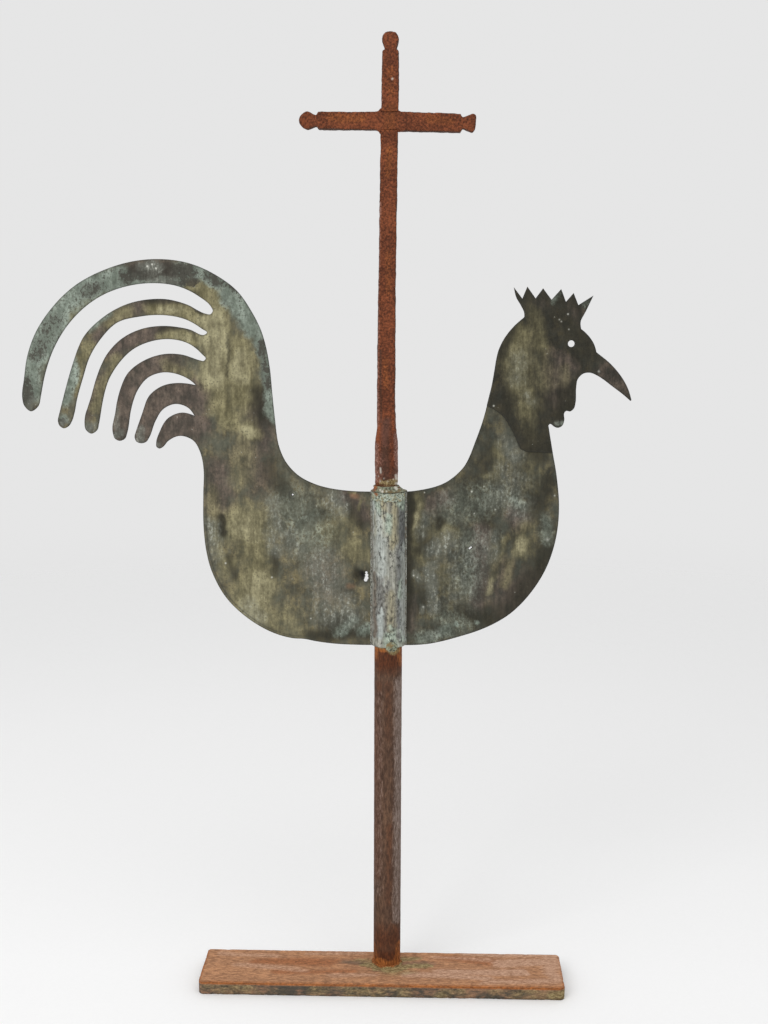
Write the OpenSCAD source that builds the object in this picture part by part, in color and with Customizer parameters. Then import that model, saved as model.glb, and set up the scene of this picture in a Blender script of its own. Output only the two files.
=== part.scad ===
// Weather vane: a sheet-copper cockerel that turns on the round shank of a forged iron
// cross, on a tube post welded to a flat iron plate.
// X runs along the vane towards the head, Y from the front face to the back, Z up.
// The origin is where the turning axis meets the underside of the plate.

/* [Stand] */
// Length of the base plate
plate_l = 400; // [340:10:460]
// Width of the base plate
plate_w = 80; // [70:5:110]
// Thickness of the base plate
plate_t = 15; // [10:1:20]
// Outside diameter of the tube post
post_od = 30; // [29:0.5:31]
// Height of the tube's rim above the ground
post_top = 394; // [388:1:400]

/* [Cross] */
// Diameter of the round shank, which is also the tube's bore
shank_d = 25; // [24:0.5:25]
// Depth of the cross's bars, front to back
bar_depth = 16; // [12:1:18]
// Height of the cross's tip above the ground
cross_top = 1022; // [1015:1:1030]

/* [Vane] */
// Thickness of one copper skin
skin_t = 1.2; // [0.8:0.1:1.6]
// Wall of the half-round channels that form the sleeve
channel_t = 1.2; // [1:0.1:1.5]
// Width of each channel's soldered flange
flange_w = 1.2; // [1:0.1:3]
// Height of the sleeve's lower edge above the ground
sleeve_low = 382; // [380:1:384]
// Height of the sleeve's upper edge above the ground
sleeve_top = 550; // [549:0.5:550]
// Diameter of the eye hole
eye_d = 7; // [5:0.5:9]

/* [Fits] */
// Radial clearance between the shank and the bushes
running_gap = 0.05; // [0.02:0.01:0.1]
// Gap under the vane's lower bush
thrust_gap = 0.05; // [0.05:0.05:0.2]

/* [Hidden] */
$fn = 96;

// The post stands off the plate's middle by this much
PLATE_SHIFT = [-5, -14];
plate_corner = 4;
plate_edge = 1.5;
weld_leg = 2.6;
shank_r = shank_d / 2;
shank_low = 342;
stop_t = 10;
washer_t = 2;
washer_r = post_od / 2 + 0.5;
sleeve_in = post_od / 2 + 1.3;
sleeve_out = sleeve_in + channel_t;
flange_out = sleeve_in + channel_t + flange_w;
flange_t = 1;
sheet_inner = sleeve_in + 0.2;
bush_h = 28;
bush_low = post_top + washer_t + thrust_gap;
bush_high = sleeve_top - 2 - bush_h;
collar_gap = 0.6;
collar_h = 5.6;
collar_r = 19.5;
big = 2000;

// The swell: a thicker, round stretch of the forging above the shank, set a little off the axis
swell_x = -2.7;
swell_low = 555;
// Radius and height up its side, from its foot to where it runs out into the upright
SWELL = [
    [11.2, swell_low], [12.3, 559], [12.4, 596], [12.1, 602.5], [11.5, 609], [10.7, 615.5],
    [10, 622], [9.4, 632], [8, 645], [5, 660]
];

// Cross, front view [x, z]; a third value marks a sharp corner.
// The upright above the swell, up its left edge, round the tip and down its right edge
UPRIGHT = [
    [-12.3, 600, 1], [-12.7, 640], [-12.6, 690], [-12.2, 740], [-11.3, 800], [-10.7, 850],
    [-9.9, 905], [-8.9, 970], [-8.7, 1003.3, 1],
    [-5.4, 1004, 1], [-7.6, 1010], [-8.8, 1015.6], [-5.5, 1020.5], [0, 1021.7],
    [5.4, 1020.4], [8.2, 1015.2], [7, 1009.6], [5.6, 1004, 1],
    [8.2, 1003.3, 1], [8.4, 970], [7.7, 905], [7, 850], [6.5, 800], [6, 740], [6.3, 690],
    [6, 645], [6.5, 600, 1]
];
// The cross-bar, from its left knob along the top to the right end and back underneath
BAR = [
    [-93.6, 933.5], [-91, 939.8], [-85.5, 942.8], [-80.5, 941], [-75.8, 938.7, 1], [-74.3, 942.6, 1],
    [-15, 942.6, 1], [-12, 943.5], [-10.2, 946, 1], [7.8, 946.3, 1], [9.5, 943.7], [12.5, 942.6, 1],
    [72.2, 940.8, 1], [73.8, 937.2, 1], [79.5, 939.2], [85.4, 940.6], [87.6, 939.2], [87.4, 933],
    [86.4, 925.2], [84.4, 922.4], [79.5, 924], [73.8, 926.6, 1], [72.2, 922.4, 1],
    [11, 923.8, 1], [8.5, 923], [7, 920.8, 1], [-10.4, 920.8, 1], [-12, 923.4], [-15, 924.7, 1],
    [-74.3, 925.5, 1], [-75.8, 928.8, 1], [-80.5, 926.7], [-85.5, 925.2], [-91, 928]
];
// Heights between which bar and upright are halved into each other
HALVING = [924.6, 942.4];

// The cockerel, front view [x, z], once round: down the back of the neck first
OUTLINE = [
    [141, 735, 1], [130, 725], [119.5, 711], [114.5, 700], [110.7, 680], [107.3, 660], [100.3, 630],
    // back, from the neck to the root of the tail
    [90.2, 600], [80, 577], [61, 560], [34, 551.5], [19, 549.6], [-23, 549.2], [-50, 550.5],
    [-77, 556], [-98, 567], [-111, 582], [-118, 600], [-121, 622], [-124, 652],
    [-126.5, 680], [-130, 701], [-135.5, 720], [-145.5, 740], [-159.5, 760], [-182, 777],
    // first feather
    [-213, 790], [-243, 793.5], [-270, 791], [-300, 782], [-330, 766.5], [-358, 740.5],
    [-375, 715.5], [-384, 692], [-389, 664], [-391, 648], [-389, 639], [-382, 633], [-374.5, 638],
    [-371, 650], [-366, 672], [-357, 697], [-342, 722], [-323, 742], [-300, 757],
    [-275, 765.5], [-248, 768.5], [-223, 765.5], [-199, 754], [-188, 744.5], [-186, 740],
    [-188.5, 736.5], [-194, 737],
    // second feather
    [-211, 745.5], [-236, 752], [-250, 752], [-277, 746.5], [-304, 731.5], [-324, 711.5],
    [-334, 689], [-343, 659.5], [-352, 630], [-353.5, 623], [-352, 618], [-347.5, 615],
    [-342, 617.5], [-338.5, 623], [-333, 644], [-325.5, 669], [-318, 690.5], [-306, 709.5],
    [-287, 727.5], [-264, 733.5], [-239, 735.3], [-214, 730.5], [-197.5, 721], [-192.5, 717],
    [-194, 715.6],
    // third feather
    [-211.5, 720.5], [-236, 724], [-261, 721], [-283, 710.5], [-300.5, 692], [-310.5, 670.5],
    [-318.5, 645], [-325, 622], [-324, 614], [-318, 609.5], [-312, 613], [-309.5, 621],
    [-305, 644], [-298, 667], [-288, 683], [-271, 699.5], [-252, 707.7], [-230, 710],
    [-212, 705.5], [-198, 694.5], [-194.3, 690], [-196.5, 687.5], [-201.5, 688.3],
    // fourth feather
    [-220, 694], [-238, 694.5], [-260, 687.5], [-277.5, 674], [-286.5, 655], [-292, 631],
    [-295, 611], [-292.5, 604], [-287.5, 602], [-282.5, 604], [-279.5, 611], [-275, 635],
    [-268, 655], [-256, 669.5], [-240.5, 675], [-223.5, 673], [-208, 664.5], [-205.3, 661.8, 1],
    // fifth feather
    [-222, 664], [-240.5, 661], [-255, 650.5], [-262.5, 633], [-270, 612.5], [-271.7, 606],
    [-270, 601.5], [-265, 599.5], [-259.5, 601], [-256, 606], [-249.5, 622.5], [-240, 636.5],
    [-227, 641.7], [-213.5, 637.5], [-207, 629.3, 1],
    // sixth feather
    [-221, 632.5], [-235, 627], [-245, 611.5], [-248.7, 600], [-248.5, 596], [-245.5, 594],
    [-241.5, 595.7], [-237, 601], [-223, 607.7], [-208.5, 602.5], [-201.5, 590], [-198.3, 572],
    // rump, belly and breast
    [-199, 546], [-199, 505], [-192.5, 465], [-176.5, 433], [-150.5, 408], [-119, 391.5],
    [-103, 387.8], [-92, 387.2], [-78, 384.5], [-61, 382.2], [-22, 381], [20, 381.3],
    [44, 383], [76, 391], [100, 399.3], [130.5, 416.5], [152, 439], [168, 465],
    [179, 500.5], [181.5, 536], [178.5, 566], [172.2, 600], [168.4, 621.5, 1],
    // wattles
    [170, 623], [174.5, 620.2], [178, 619], [183, 621.3], [185, 627], [185.2, 635.5],
    [187, 637], [190.5, 636.3], [194.5, 639], [196.5, 646], [196.7, 661],
    // throat and beak
    [198.5, 671], [204, 676.3], [211, 677.2], [218, 674.5], [233.3, 664], [247, 653.8],
    [254, 647.8, 1], [255, 649, 1], [251.5, 659.6], [243.8, 673.2], [231.5, 687.2], [217, 698.8, 1],
    // forehead
    [214.8, 706], [208.4, 715.8], [200.4, 723, 1], [199.9, 731], [203, 737.5],
    // comb
    [212.4, 757.4, 1], [197, 747.5, 1], [191.8, 760, 1], [184, 750.8, 1], [178.8, 764, 1],
    [169, 753, 1], [160, 764.7, 1], [152.4, 754.3, 1], [143.6, 766.4, 1], [138.6, 754, 1],
    [129.4, 765.8, 1], [132.3, 755], [140.8, 739]
];
// Lower edge of the head plate where it laps over the neck, back of the neck first
HEAD_EDGE = [[90, 650], [117, 634], [130, 616], [139, 596.5], [145, 593.5], [185, 592]];
// How far the neck runs on under the head plate, and the width of the joggle's step
LAP = [5, 9];
STEP = [0.8, 1.4];

// Holes through both skins: centre and diameter
EYE = [190.5, 707.5];
SHOT_HOLES = [[87, 488.6, 2.2], [88.4, 489.8, 2], [-103, 545.3, 2]];
TORN_HOLE = [[-23.9, 461.2, 2.6], [-23.6, 458.4, 3.6], [-23.7, 455.2, 4.2], [-24.7, 452.9, 3.8]];

// ---- Smooth outlines ----
// A curve runs through every point of a closed list; points marked with a third value
// are corners, where the curve may turn sharply.
degrees_per_step = 8;

function flat(p) = [p[0], p[1]];
function unit(v) = v / norm(v);
function is_corner(p) = len(p) > 2;
function round_slope(a, b, c) =
    let (ab = norm(b - a), bc = norm(c - b))
    ((b - a) / ab * bc + (c - b) / bc * ab) / (ab + bc);
function at(points, i) = flat(points[(i + len(points)) % len(points)]);
function slope_at(points, i) = round_slope(at(points, i - 1), at(points, i), at(points, i + 1));
function start_slope(points, i) =
    let (chord = unit(at(points, i + 1) - at(points, i)), n = len(points))
    !is_corner(points[i]) ? slope_at(points, i)
    : is_corner(points[(i + 1) % n]) ? chord
    : 1.5 * chord - 0.5 * slope_at(points, i + 1);
function end_slope(points, i) =
    let (chord = unit(at(points, i + 1) - at(points, i)), n = len(points))
    !is_corner(points[(i + 1) % n]) ? slope_at(points, i + 1)
    : is_corner(points[i]) ? chord
    : 1.5 * chord - 0.5 * slope_at(points, i);
function turn(a, b) = acos(min(1, max(-1, unit(a) * unit(b))));
function hermite(a, b, ta, tb, u) =
    (2 * u ^ 3 - 3 * u ^ 2 + 1) * a + (u ^ 3 - 2 * u ^ 2 + u) * ta
    + (3 * u ^ 2 - 2 * u ^ 3) * b + (u ^ 3 - u ^ 2) * tb;
function smooth(points) = [
    for (i = [0 : len(points) - 1])
        let (
            a = at(points, i),
            b = at(points, i + 1),
            ta = start_slope(points, i),
            tb = end_slope(points, i),
            reach = norm(b - a),
            steps = max(1, ceil(turn(ta, tb) / degrees_per_step))
        )
        for (k = [0 : steps - 1])
            hermite(a, b, reach * ta, reach * tb, k / steps)
];

// ---- Shared shapes ----
// Stands a front-view shape up, from y to y + depth
module upright_slab(y, depth) {
    translate([0, y + depth, 0])
        rotate([90, 0, 0])
            linear_extrude(depth)
                children();
}

module ring(r_in, r_out, low, high) {
    translate([0, 0, low])
        difference() {
            cylinder(r = r_out, h = high - low);
            translate([0, 0, -1])
                cylinder(r = r_in, h = high - low + 2);
        }
}

// Puts a piece made for the front on the back of the vane
module on_back() {
    mirror([0, 1, 0])
        children();
}

// Everything above a line that runs from left to right
module above(line) {
    polygon(concat(
        [[line[0][0], cross_top]],
        line,
        [[line[len(line) - 1][0] + big, line[len(line) - 1][1]], [big, cross_top]]
    ));
}

function shifted(line, by) = [for (p = line) p + by];

module spot(place, d) {
    translate([place[0], place[1]])
        circle(d = d);
}

module cockerel() {
    difference() {
        polygon(smooth(OUTLINE));
        spot(EYE, eye_d);
        for (hole = concat(SHOT_HOLES, TORN_HOLE))
            spot(hole, hole[2]);
    }
}

module side_of_sleeve(x) {
    translate([min(x, x + sign(x) * big), 0])
        square([big, cross_top]);
}

// ---- Stand ----
module base_plate() {
    color("rosybrown")
        intersection() {
            translate([PLATE_SHIFT[0] - plate_l / 2, PLATE_SHIFT[1], 0])
                rotate([90, 0, 90])
                    linear_extrude(plate_l)
                        polygon([
                            [-plate_w / 2, 0], [plate_w / 2, 0],
                            [plate_w / 2, plate_t - plate_edge],
                            [plate_w / 2 - plate_edge, plate_t],
                            [-plate_w / 2 + plate_edge, plate_t],
                            [-plate_w / 2, plate_t - plate_edge]
                        ]);
            translate([PLATE_SHIFT[0], PLATE_SHIFT[1], 0])
                linear_extrude(plate_t)
                    plate_plan();
        }
}

// The plate from above, with its four corners cut off
module plate_plan() {
    x = plate_l / 2;
    y = plate_w / 2;
    c = plate_corner;
    polygon([
        [-x + c, -y], [x - c, -y], [x, -y + c], [x, y - c],
        [x - c, y], [-x + c, y], [-x, y - c], [-x, -y + c]
    ]);
}

module foot_weld() {
    color("olivedrab")
        rotate_extrude()
            polygon([
                [post_od / 2, plate_t],
                [post_od / 2 + weld_leg, plate_t],
                [post_od / 2, plate_t + weld_leg]
            ]);
}

module post_tube() {
    color("sienna")
        ring(shank_r, post_od / 2, plate_t, post_top);
}

// Plug driven into the tube; the shank's lower end stands on it
module shank_stop() {
    color("dimgray")
        translate([0, 0, shank_low - stop_t])
            cylinder(r = shank_r, h = stop_t);
}

module thrust_washer() {
    color("goldenrod")
        ring(shank_r, washer_r, post_top, post_top + washer_t);
}

// ---- Cross ----
module shank_and_swell() {
    translate([0, 0, shank_low])
        cylinder(r = shank_r, h = swell_low + 0.4 - shank_low);
    translate([swell_x, 0, 0])
        rotate_extrude()
            polygon(concat([[0, swell_low]], SWELL, [[0, SWELL[len(SWELL) - 1][1]]]));
}

module cross_upright() {
    color("brown")
        difference() {
            union() {
                shank_and_swell();
                upright_slab(-bar_depth / 2, bar_depth)
                    polygon(smooth(UPRIGHT));
            }
            translate([-50, -bar_depth / 2 - 1, HALVING[0]])
                cube([100, bar_depth / 2 + 1, HALVING[1] - HALVING[0]]);
        }
}

// The bar is halved over the upright: its front half runs through, its back half stops either side
module cross_bar() {
    color("brown")
        difference() {
            upright_slab(-bar_depth / 2, bar_depth)
                polygon(smooth(BAR));
            upright_slab(0, bar_depth)
                polygon(smooth(UPRIGHT));
            upright_slab(-bar_depth, bar_depth)
                difference() {
                    polygon(smooth(UPRIGHT));
                    translate([-50, HALVING[0]])
                        square([100, HALVING[1] - HALVING[0]]);
                }
        }
}

// Soft-metal cone fixed on the shank; it sheds rain and keeps the vane from lifting off
module storm_collar() {
    low = sleeve_top + collar_gap;
    color("darkseagreen")
        difference() {
            rotate_extrude()
                polygon([
                    [0, low], [collar_r, low], [collar_r, low + 0.8], [collar_r - 2, low + 1.8],
                    [collar_r - 3.8, low + 3], [shank_r + 1.8, low + 4.4],
                    [shank_r + 1.2, low + collar_h], [0, low + collar_h]
                ]);
            shank_and_swell();
        }
}

// ---- Sleeve ----
module channel_section() {
    intersection() {
        difference() {
            circle(r = sleeve_out);
            circle(r = sleeve_in);
        }
        translate([-big / 2, -big - skin_t])
            square([big, big]);
    }
    for (side = [-1, 1])
        translate([side > 0 ? sleeve_in + 0.3 : -flange_out, -skin_t - flange_t])
            square([flange_out - sleeve_in - 0.3, flange_t]);
}

module channel() {
    color("lightslategray")
        translate([0, 0, sleeve_low])
            linear_extrude(sleeve_top - sleeve_low)
                channel_section();
}

module sleeve_front() {
    channel();
}

module sleeve_back() {
    on_back()
        channel();
}

module bush(low) {
    color("peru")
        ring(shank_r + running_gap, sleeve_in, low, low + bush_h);
}

module lower_bush() {
    bush(bush_low);
}

module upper_bush() {
    bush(bush_high);
}

// Beads of solder along the flange's outer edge and in the corner behind the half-round
module flange_beads() {
    bead = 1.4;
    root = sleeve_out - 0.2;
    face = -skin_t - flange_t;
    color("silver")
        for (side = [0, 1])
            mirror([side, 0, 0])
                translate([0, 0, sleeve_low])
                    linear_extrude(sleeve_top - sleeve_low) {
                        polygon([
                            [flange_out, -skin_t], [flange_out + bead, -skin_t],
                            [flange_out, face]
                        ]);
                        difference() {
                            polygon([[root, face], [root + bead + 0.4, face], [root - 0.3, face - 2]]);
                            circle(r = sleeve_out);
                        }
                    }
}

module sleeve_solder_front() {
    flange_beads();
}

module sleeve_solder_back() {
    on_back()
        flange_beads();
}

// Crust of solder round the top of the sleeve, front and back
module crown_solder() {
    crust = 1.2;
    depth = 9;
    color("lightcyan")
        for (face = [0, 1])
            mirror([0, face, 0])
                intersection() {
                    ring(sleeve_out, sleeve_out + crust, sleeve_top - depth, sleeve_top);
                    translate([-big / 2, -big - skin_t - flange_t - 3, 0])
                        cube([big, big, cross_top]);
                }
}

// Lump of solder that ran down the sleeve's front and hangs just clear of the post
module drip_solder() {
    reach = 1.8;
    color("darkseagreen")
        difference() {
            intersection() {
                ring(post_od / 2 + 0.6, sleeve_out + reach, sleeve_low - 10, sleeve_low + 20);
                translate([4, 0, sleeve_low + 1])
                    rotate([90, 0, 0])
                        cylinder(r = 6, h = 40);
            }
            translate([0, 0, sleeve_low])
                cylinder(r = sleeve_out, h = 40);
        }
}

// ---- Skins ----
module tail_sheet() {
    color("olive")
        upright_slab(-skin_t, skin_t)
            intersection() {
                cockerel();
                side_of_sleeve(-sheet_inner);
            }
}

module breast_sheet() {
    color("darkolivegreen")
        upright_slab(-skin_t, skin_t)
            difference() {
                intersection() {
                    cockerel();
                    side_of_sleeve(sheet_inner);
                }
                above(shifted(HEAD_EDGE, LAP));
            }
}

// The head and comb lie flush with the neck, then step forward and lap over it
module head_plate() {
    color("darkslategray") {
        upright_slab(-skin_t, skin_t)
            intersection() {
                cockerel();
                above(shifted(HEAD_EDGE, LAP));
            }
        upright_slab(-2 * skin_t, skin_t)
            difference() {
                intersection() {
                    cockerel();
                    above(HEAD_EDGE);
                }
                above(shifted(HEAD_EDGE, LAP + STEP));
            }
    }
}

module tail_sheet_front() {
    tail_sheet();
}

module tail_sheet_back() {
    on_back()
        tail_sheet();
}

module breast_sheet_front() {
    breast_sheet();
}

module breast_sheet_back() {
    on_back()
        breast_sheet();
}

module head_plate_front() {
    head_plate();
}

module head_plate_back() {
    on_back()
        head_plate();
}

base_plate();
foot_weld();
post_tube();
shank_stop();
thrust_washer();
cross_upright();
cross_bar();
storm_collar();
sleeve_front();
sleeve_back();
lower_bush();
upper_bush();
tail_sheet_front();
tail_sheet_back();
breast_sheet_front();
breast_sheet_back();
head_plate_front();
head_plate_back();
sleeve_solder_front();
sleeve_solder_back();
crown_solder();
drip_solder();
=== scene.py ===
"""Looks of a weather vane: a patinated sheet-copper cockerel that turns on a rusty forged cross.

Every visible piece is built here as a dense mesh from its CAD node, in metres and in the CAD's
frame: X towards the head, Y from the front to the back, Z up. Places on the vane that have no
node of their own are named below as (x, z) in millimetres on its front view.
"""
import math

import bmesh
import bpy
import numpy as np
from mathutils import Matrix, Vector, kdtree, noise
from mathutils.bvhtree import BVHTree
from mathutils.geometry import delaunay_2d_cdt


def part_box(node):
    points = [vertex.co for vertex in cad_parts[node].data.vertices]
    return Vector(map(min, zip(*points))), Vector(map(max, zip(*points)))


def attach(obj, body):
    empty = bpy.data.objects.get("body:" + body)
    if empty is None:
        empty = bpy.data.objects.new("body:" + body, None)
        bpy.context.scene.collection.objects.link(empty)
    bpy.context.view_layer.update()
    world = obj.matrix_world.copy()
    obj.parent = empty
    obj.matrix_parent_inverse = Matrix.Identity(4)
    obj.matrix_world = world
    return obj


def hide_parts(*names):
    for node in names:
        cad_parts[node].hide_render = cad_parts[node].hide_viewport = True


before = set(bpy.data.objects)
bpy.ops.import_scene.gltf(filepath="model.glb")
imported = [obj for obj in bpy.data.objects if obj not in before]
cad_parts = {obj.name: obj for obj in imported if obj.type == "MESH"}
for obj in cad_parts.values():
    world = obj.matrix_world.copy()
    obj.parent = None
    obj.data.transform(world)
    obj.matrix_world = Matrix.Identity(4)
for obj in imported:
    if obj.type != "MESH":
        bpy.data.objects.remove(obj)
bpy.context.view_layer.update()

MM = 0.001
TRIANGLE_HEIGHT = 0.866
FRONT, BACK = -1, 1

# ---- Sizes, in metres ----
skin_t = -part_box("tail_sheet_front")[0].y
lap_t = -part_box("head_plate_front")[0].y
sleeve_r = -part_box("sleeve_front")[0].y
sleeve_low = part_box("sleeve_front")[0].z
sleeve_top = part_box("sleeve_front")[1].z
sleeve_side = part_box("sleeve_front")[1].x
post_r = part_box("post_tube")[1].x
post_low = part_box("post_tube")[0].z
post_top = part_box("post_tube")[1].z
shank_r = 12.5 * MM
swell_x = -2.7 * MM
plate_low, plate_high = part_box("base_plate")
collar_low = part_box("storm_collar")[0].z
shank_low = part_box("cross_upright")[0].z
weld_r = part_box("foot_weld")[1].x

grid_step = 2.6 * MM
edge_step = 1.2 * MM
edge_round = 0.45 * MM
lap_slope = 3.5 * MM
post_gap = 0.45 * MM
shank_gap = 0.2 * MM


# ---- Small geometry helpers ----
def smooth_step(value, low, high):
    """0 below low, 1 above high and smooth between; low may be the larger"""
    t = np.clip((value - low) / (high - low), 0, 1)
    return t * t * (3 - 2 * t)


def noise_at(points, size, seed, octaves=3, stretch=(1, 1, 1)):
    """Fractal noise of about -1 to 1 at points, with features of that size, both in metres"""
    shift = Vector((seed * 7.13, seed * 3.71, seed * 5.39))
    scaled = points / (size * np.array(stretch))
    return np.array([noise.fractal(Vector(p) + shift, 1.0, 2.0, octaves) for p in scaled])


def distance_to(path, x, z):
    """Distance in millimetres from points (x, z) to a path of one or more corners"""
    if len(path) == 1:
        return np.hypot(x - path[0][0], z - path[0][1])
    nearest = np.full(len(x), 1e9)
    for (ax, az), (bx, bz) in zip(path, path[1:]):
        length2 = (bx - ax) ** 2 + (bz - az) ** 2
        t = np.clip(((x - ax) * (bx - ax) + (z - az) * (bz - az)) / length2, 0, 1)
        nearest = np.minimum(nearest, np.hypot(x - ax - t * (bx - ax), z - az - t * (bz - az)))
    return nearest


def painted(strokes, x, z):
    """How strongly strokes cover points (x, z), in millimetres

    A stroke is its strength, its half width and the corners of its path.
    """
    cover = np.zeros(len(x))
    for strength, half, *path in strokes:
        cover = np.maximum(cover, strength * smooth_step(distance_to(path, x, z) / half, 1.9, 0.1))
    return cover


def drifted(points):
    """Places (x, z) in millimetres, drifted by noise, so that strokes get natural borders"""
    drift_x = 4.0 * noise_at(points, 24 * MM, 6, 2) + 1.5 * noise_at(points, 6 * MM, 7, 2)
    drift_z = 6.0 * noise_at(points, 30 * MM, 8, 2) + 2.0 * noise_at(points, 8 * MM, 9, 2)
    return points[:, 0] / MM + drift_x, points[:, 2] / MM + drift_z


def inset(x, y, low, high):
    """How far points lie inside the four sides of a box"""
    return np.minimum(np.minimum(y - low.y, high.y - y), np.minimum(x - low.x, high.x - x))


def coordinates(mesh):
    """A mesh's points, as rows of x, y and z"""
    flat = np.empty(len(mesh.vertices) * 3)
    mesh.vertices.foreach_get("co", flat)
    return flat.reshape(-1, 3)


def normals(mesh):
    """The directions in which a mesh's points face"""
    flat = np.empty(len(mesh.vertices) * 3)
    mesh.vertex_normals.foreach_get("vector", flat)
    return flat.reshape(-1, 3)


def off_axis(points):
    """Distance of points from the turning axis"""
    return np.hypot(points[:, 0], points[:, 1])


def push_out(points, depth):
    """Moves each point straight away from the turning axis"""
    points[:, :2] += points[:, :2] / off_axis(points)[:, None] * depth[:, None]


def set_coordinates(mesh, points):
    """Moves a mesh's points there"""
    mesh.vertices.foreach_set("co", points.ravel())
    mesh.update()


def set_field(mesh, name, values):
    """Paints a value on each point of the mesh, for a material to read"""
    attribute = mesh.attributes.new(name, "FLOAT", "POINT")
    attribute.data.foreach_set("value", np.asarray(values, np.float32))


def new_piece(name, mesh, body, material, node):
    """Makes a finished piece of a mesh: it rides on the body and stands for its CAD node"""
    piece = bpy.data.objects.new(name, mesh)
    bpy.context.scene.collection.objects.link(piece)
    mesh.materials.clear()
    mesh.materials.append(material)
    mesh.shade_smooth()
    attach(piece, body)
    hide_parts(node)


def remeshed(name, source, voxel, rounds):
    """An even, closed mesh over a source mesh, with its corners worn round"""
    helper = bpy.data.objects.new(name, source)
    bpy.context.scene.collection.objects.link(helper)
    voxels = helper.modifiers.new("voxels", "REMESH")
    voxels.mode = "VOXEL"
    voxels.voxel_size = voxel
    wear = helper.modifiers.new("wear", "SMOOTH")
    wear.factor = 0.5
    wear.iterations = rounds
    evaluated = helper.evaluated_get(bpy.context.evaluated_depsgraph_get())
    mesh = bpy.data.meshes.new_from_object(evaluated)
    bpy.data.objects.remove(helper)
    mesh.name = name
    return mesh


def node_copy(node):
    """A copy of a CAD node's own mesh"""
    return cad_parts[node].data.copy()


def made_mesh(name, points, faces):
    """A mesh without loose points, with all its faces turned outward"""
    mesh = bpy.data.meshes.new(name)
    mesh.from_pydata(points, [], faces)
    bm = bmesh.new()
    bm.from_mesh(mesh)
    loose = [v for v in bm.verts if not v.link_faces]
    bmesh.ops.delete(bm, geom=loose, context="VERTS")
    bmesh.ops.recalc_face_normals(bm, faces=bm.faces)
    bm.to_mesh(mesh)
    bm.free()
    return mesh


def cut_off_below(source, height):
    """The part of a closed mesh above a height, closed again"""
    bm = bmesh.new()
    bm.from_mesh(source)
    bmesh.ops.remove_doubles(bm, verts=bm.verts, dist=1e-6)
    everything = bm.verts[:] + bm.edges[:] + bm.faces[:]
    cut = bmesh.ops.bisect_plane(
        bm, geom=everything, plane_co=(0, 0, height), plane_no=(0, 0, 1), clear_inner=True)
    edges = [e for e in cut["geom_cut"] if isinstance(e, bmesh.types.BMEdge)]
    bmesh.ops.contextual_create(bm, geom=edges)
    bmesh.ops.triangulate(bm, faces=bm.faces)
    mesh = bpy.data.meshes.new("cut")
    bm.to_mesh(mesh)
    bm.free()
    return mesh


def swept_mesh(name, section, heights):
    """Rows of a closed (x, y) section at each height, capped at both ends"""
    points = [(x, y, z) for z in heights for x, y in section]
    count = len(section)
    last = len(points) - count
    faces = []
    for low in range(0, last, count):
        high = low + count
        for i in range(count):
            j = (i + 1) % count
            faces.append((low + i, low + j, high + j, high + i))
    faces.append(tuple(reversed(range(count))))
    faces.append(tuple(range(last, last + count)))
    return made_mesh(name, points, faces)


def lathed_mesh(name, profile, turns):
    """A closed (r, z) profile turned about the axis in that many steps"""
    angles = np.linspace(0, 2 * math.pi, turns, endpoint=False)
    count = len(profile)
    points = [(r * math.cos(a), r * math.sin(a), z) for a in angles for r, z in profile]
    faces = []
    for step in range(turns):
        here = step * count
        ahead = (step + 1) % turns * count
        for i in range(count):
            j = (i + 1) % count
            faces.append((here + i, ahead + i, ahead + j, here + j))
    return made_mesh(name, points, faces)


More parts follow.
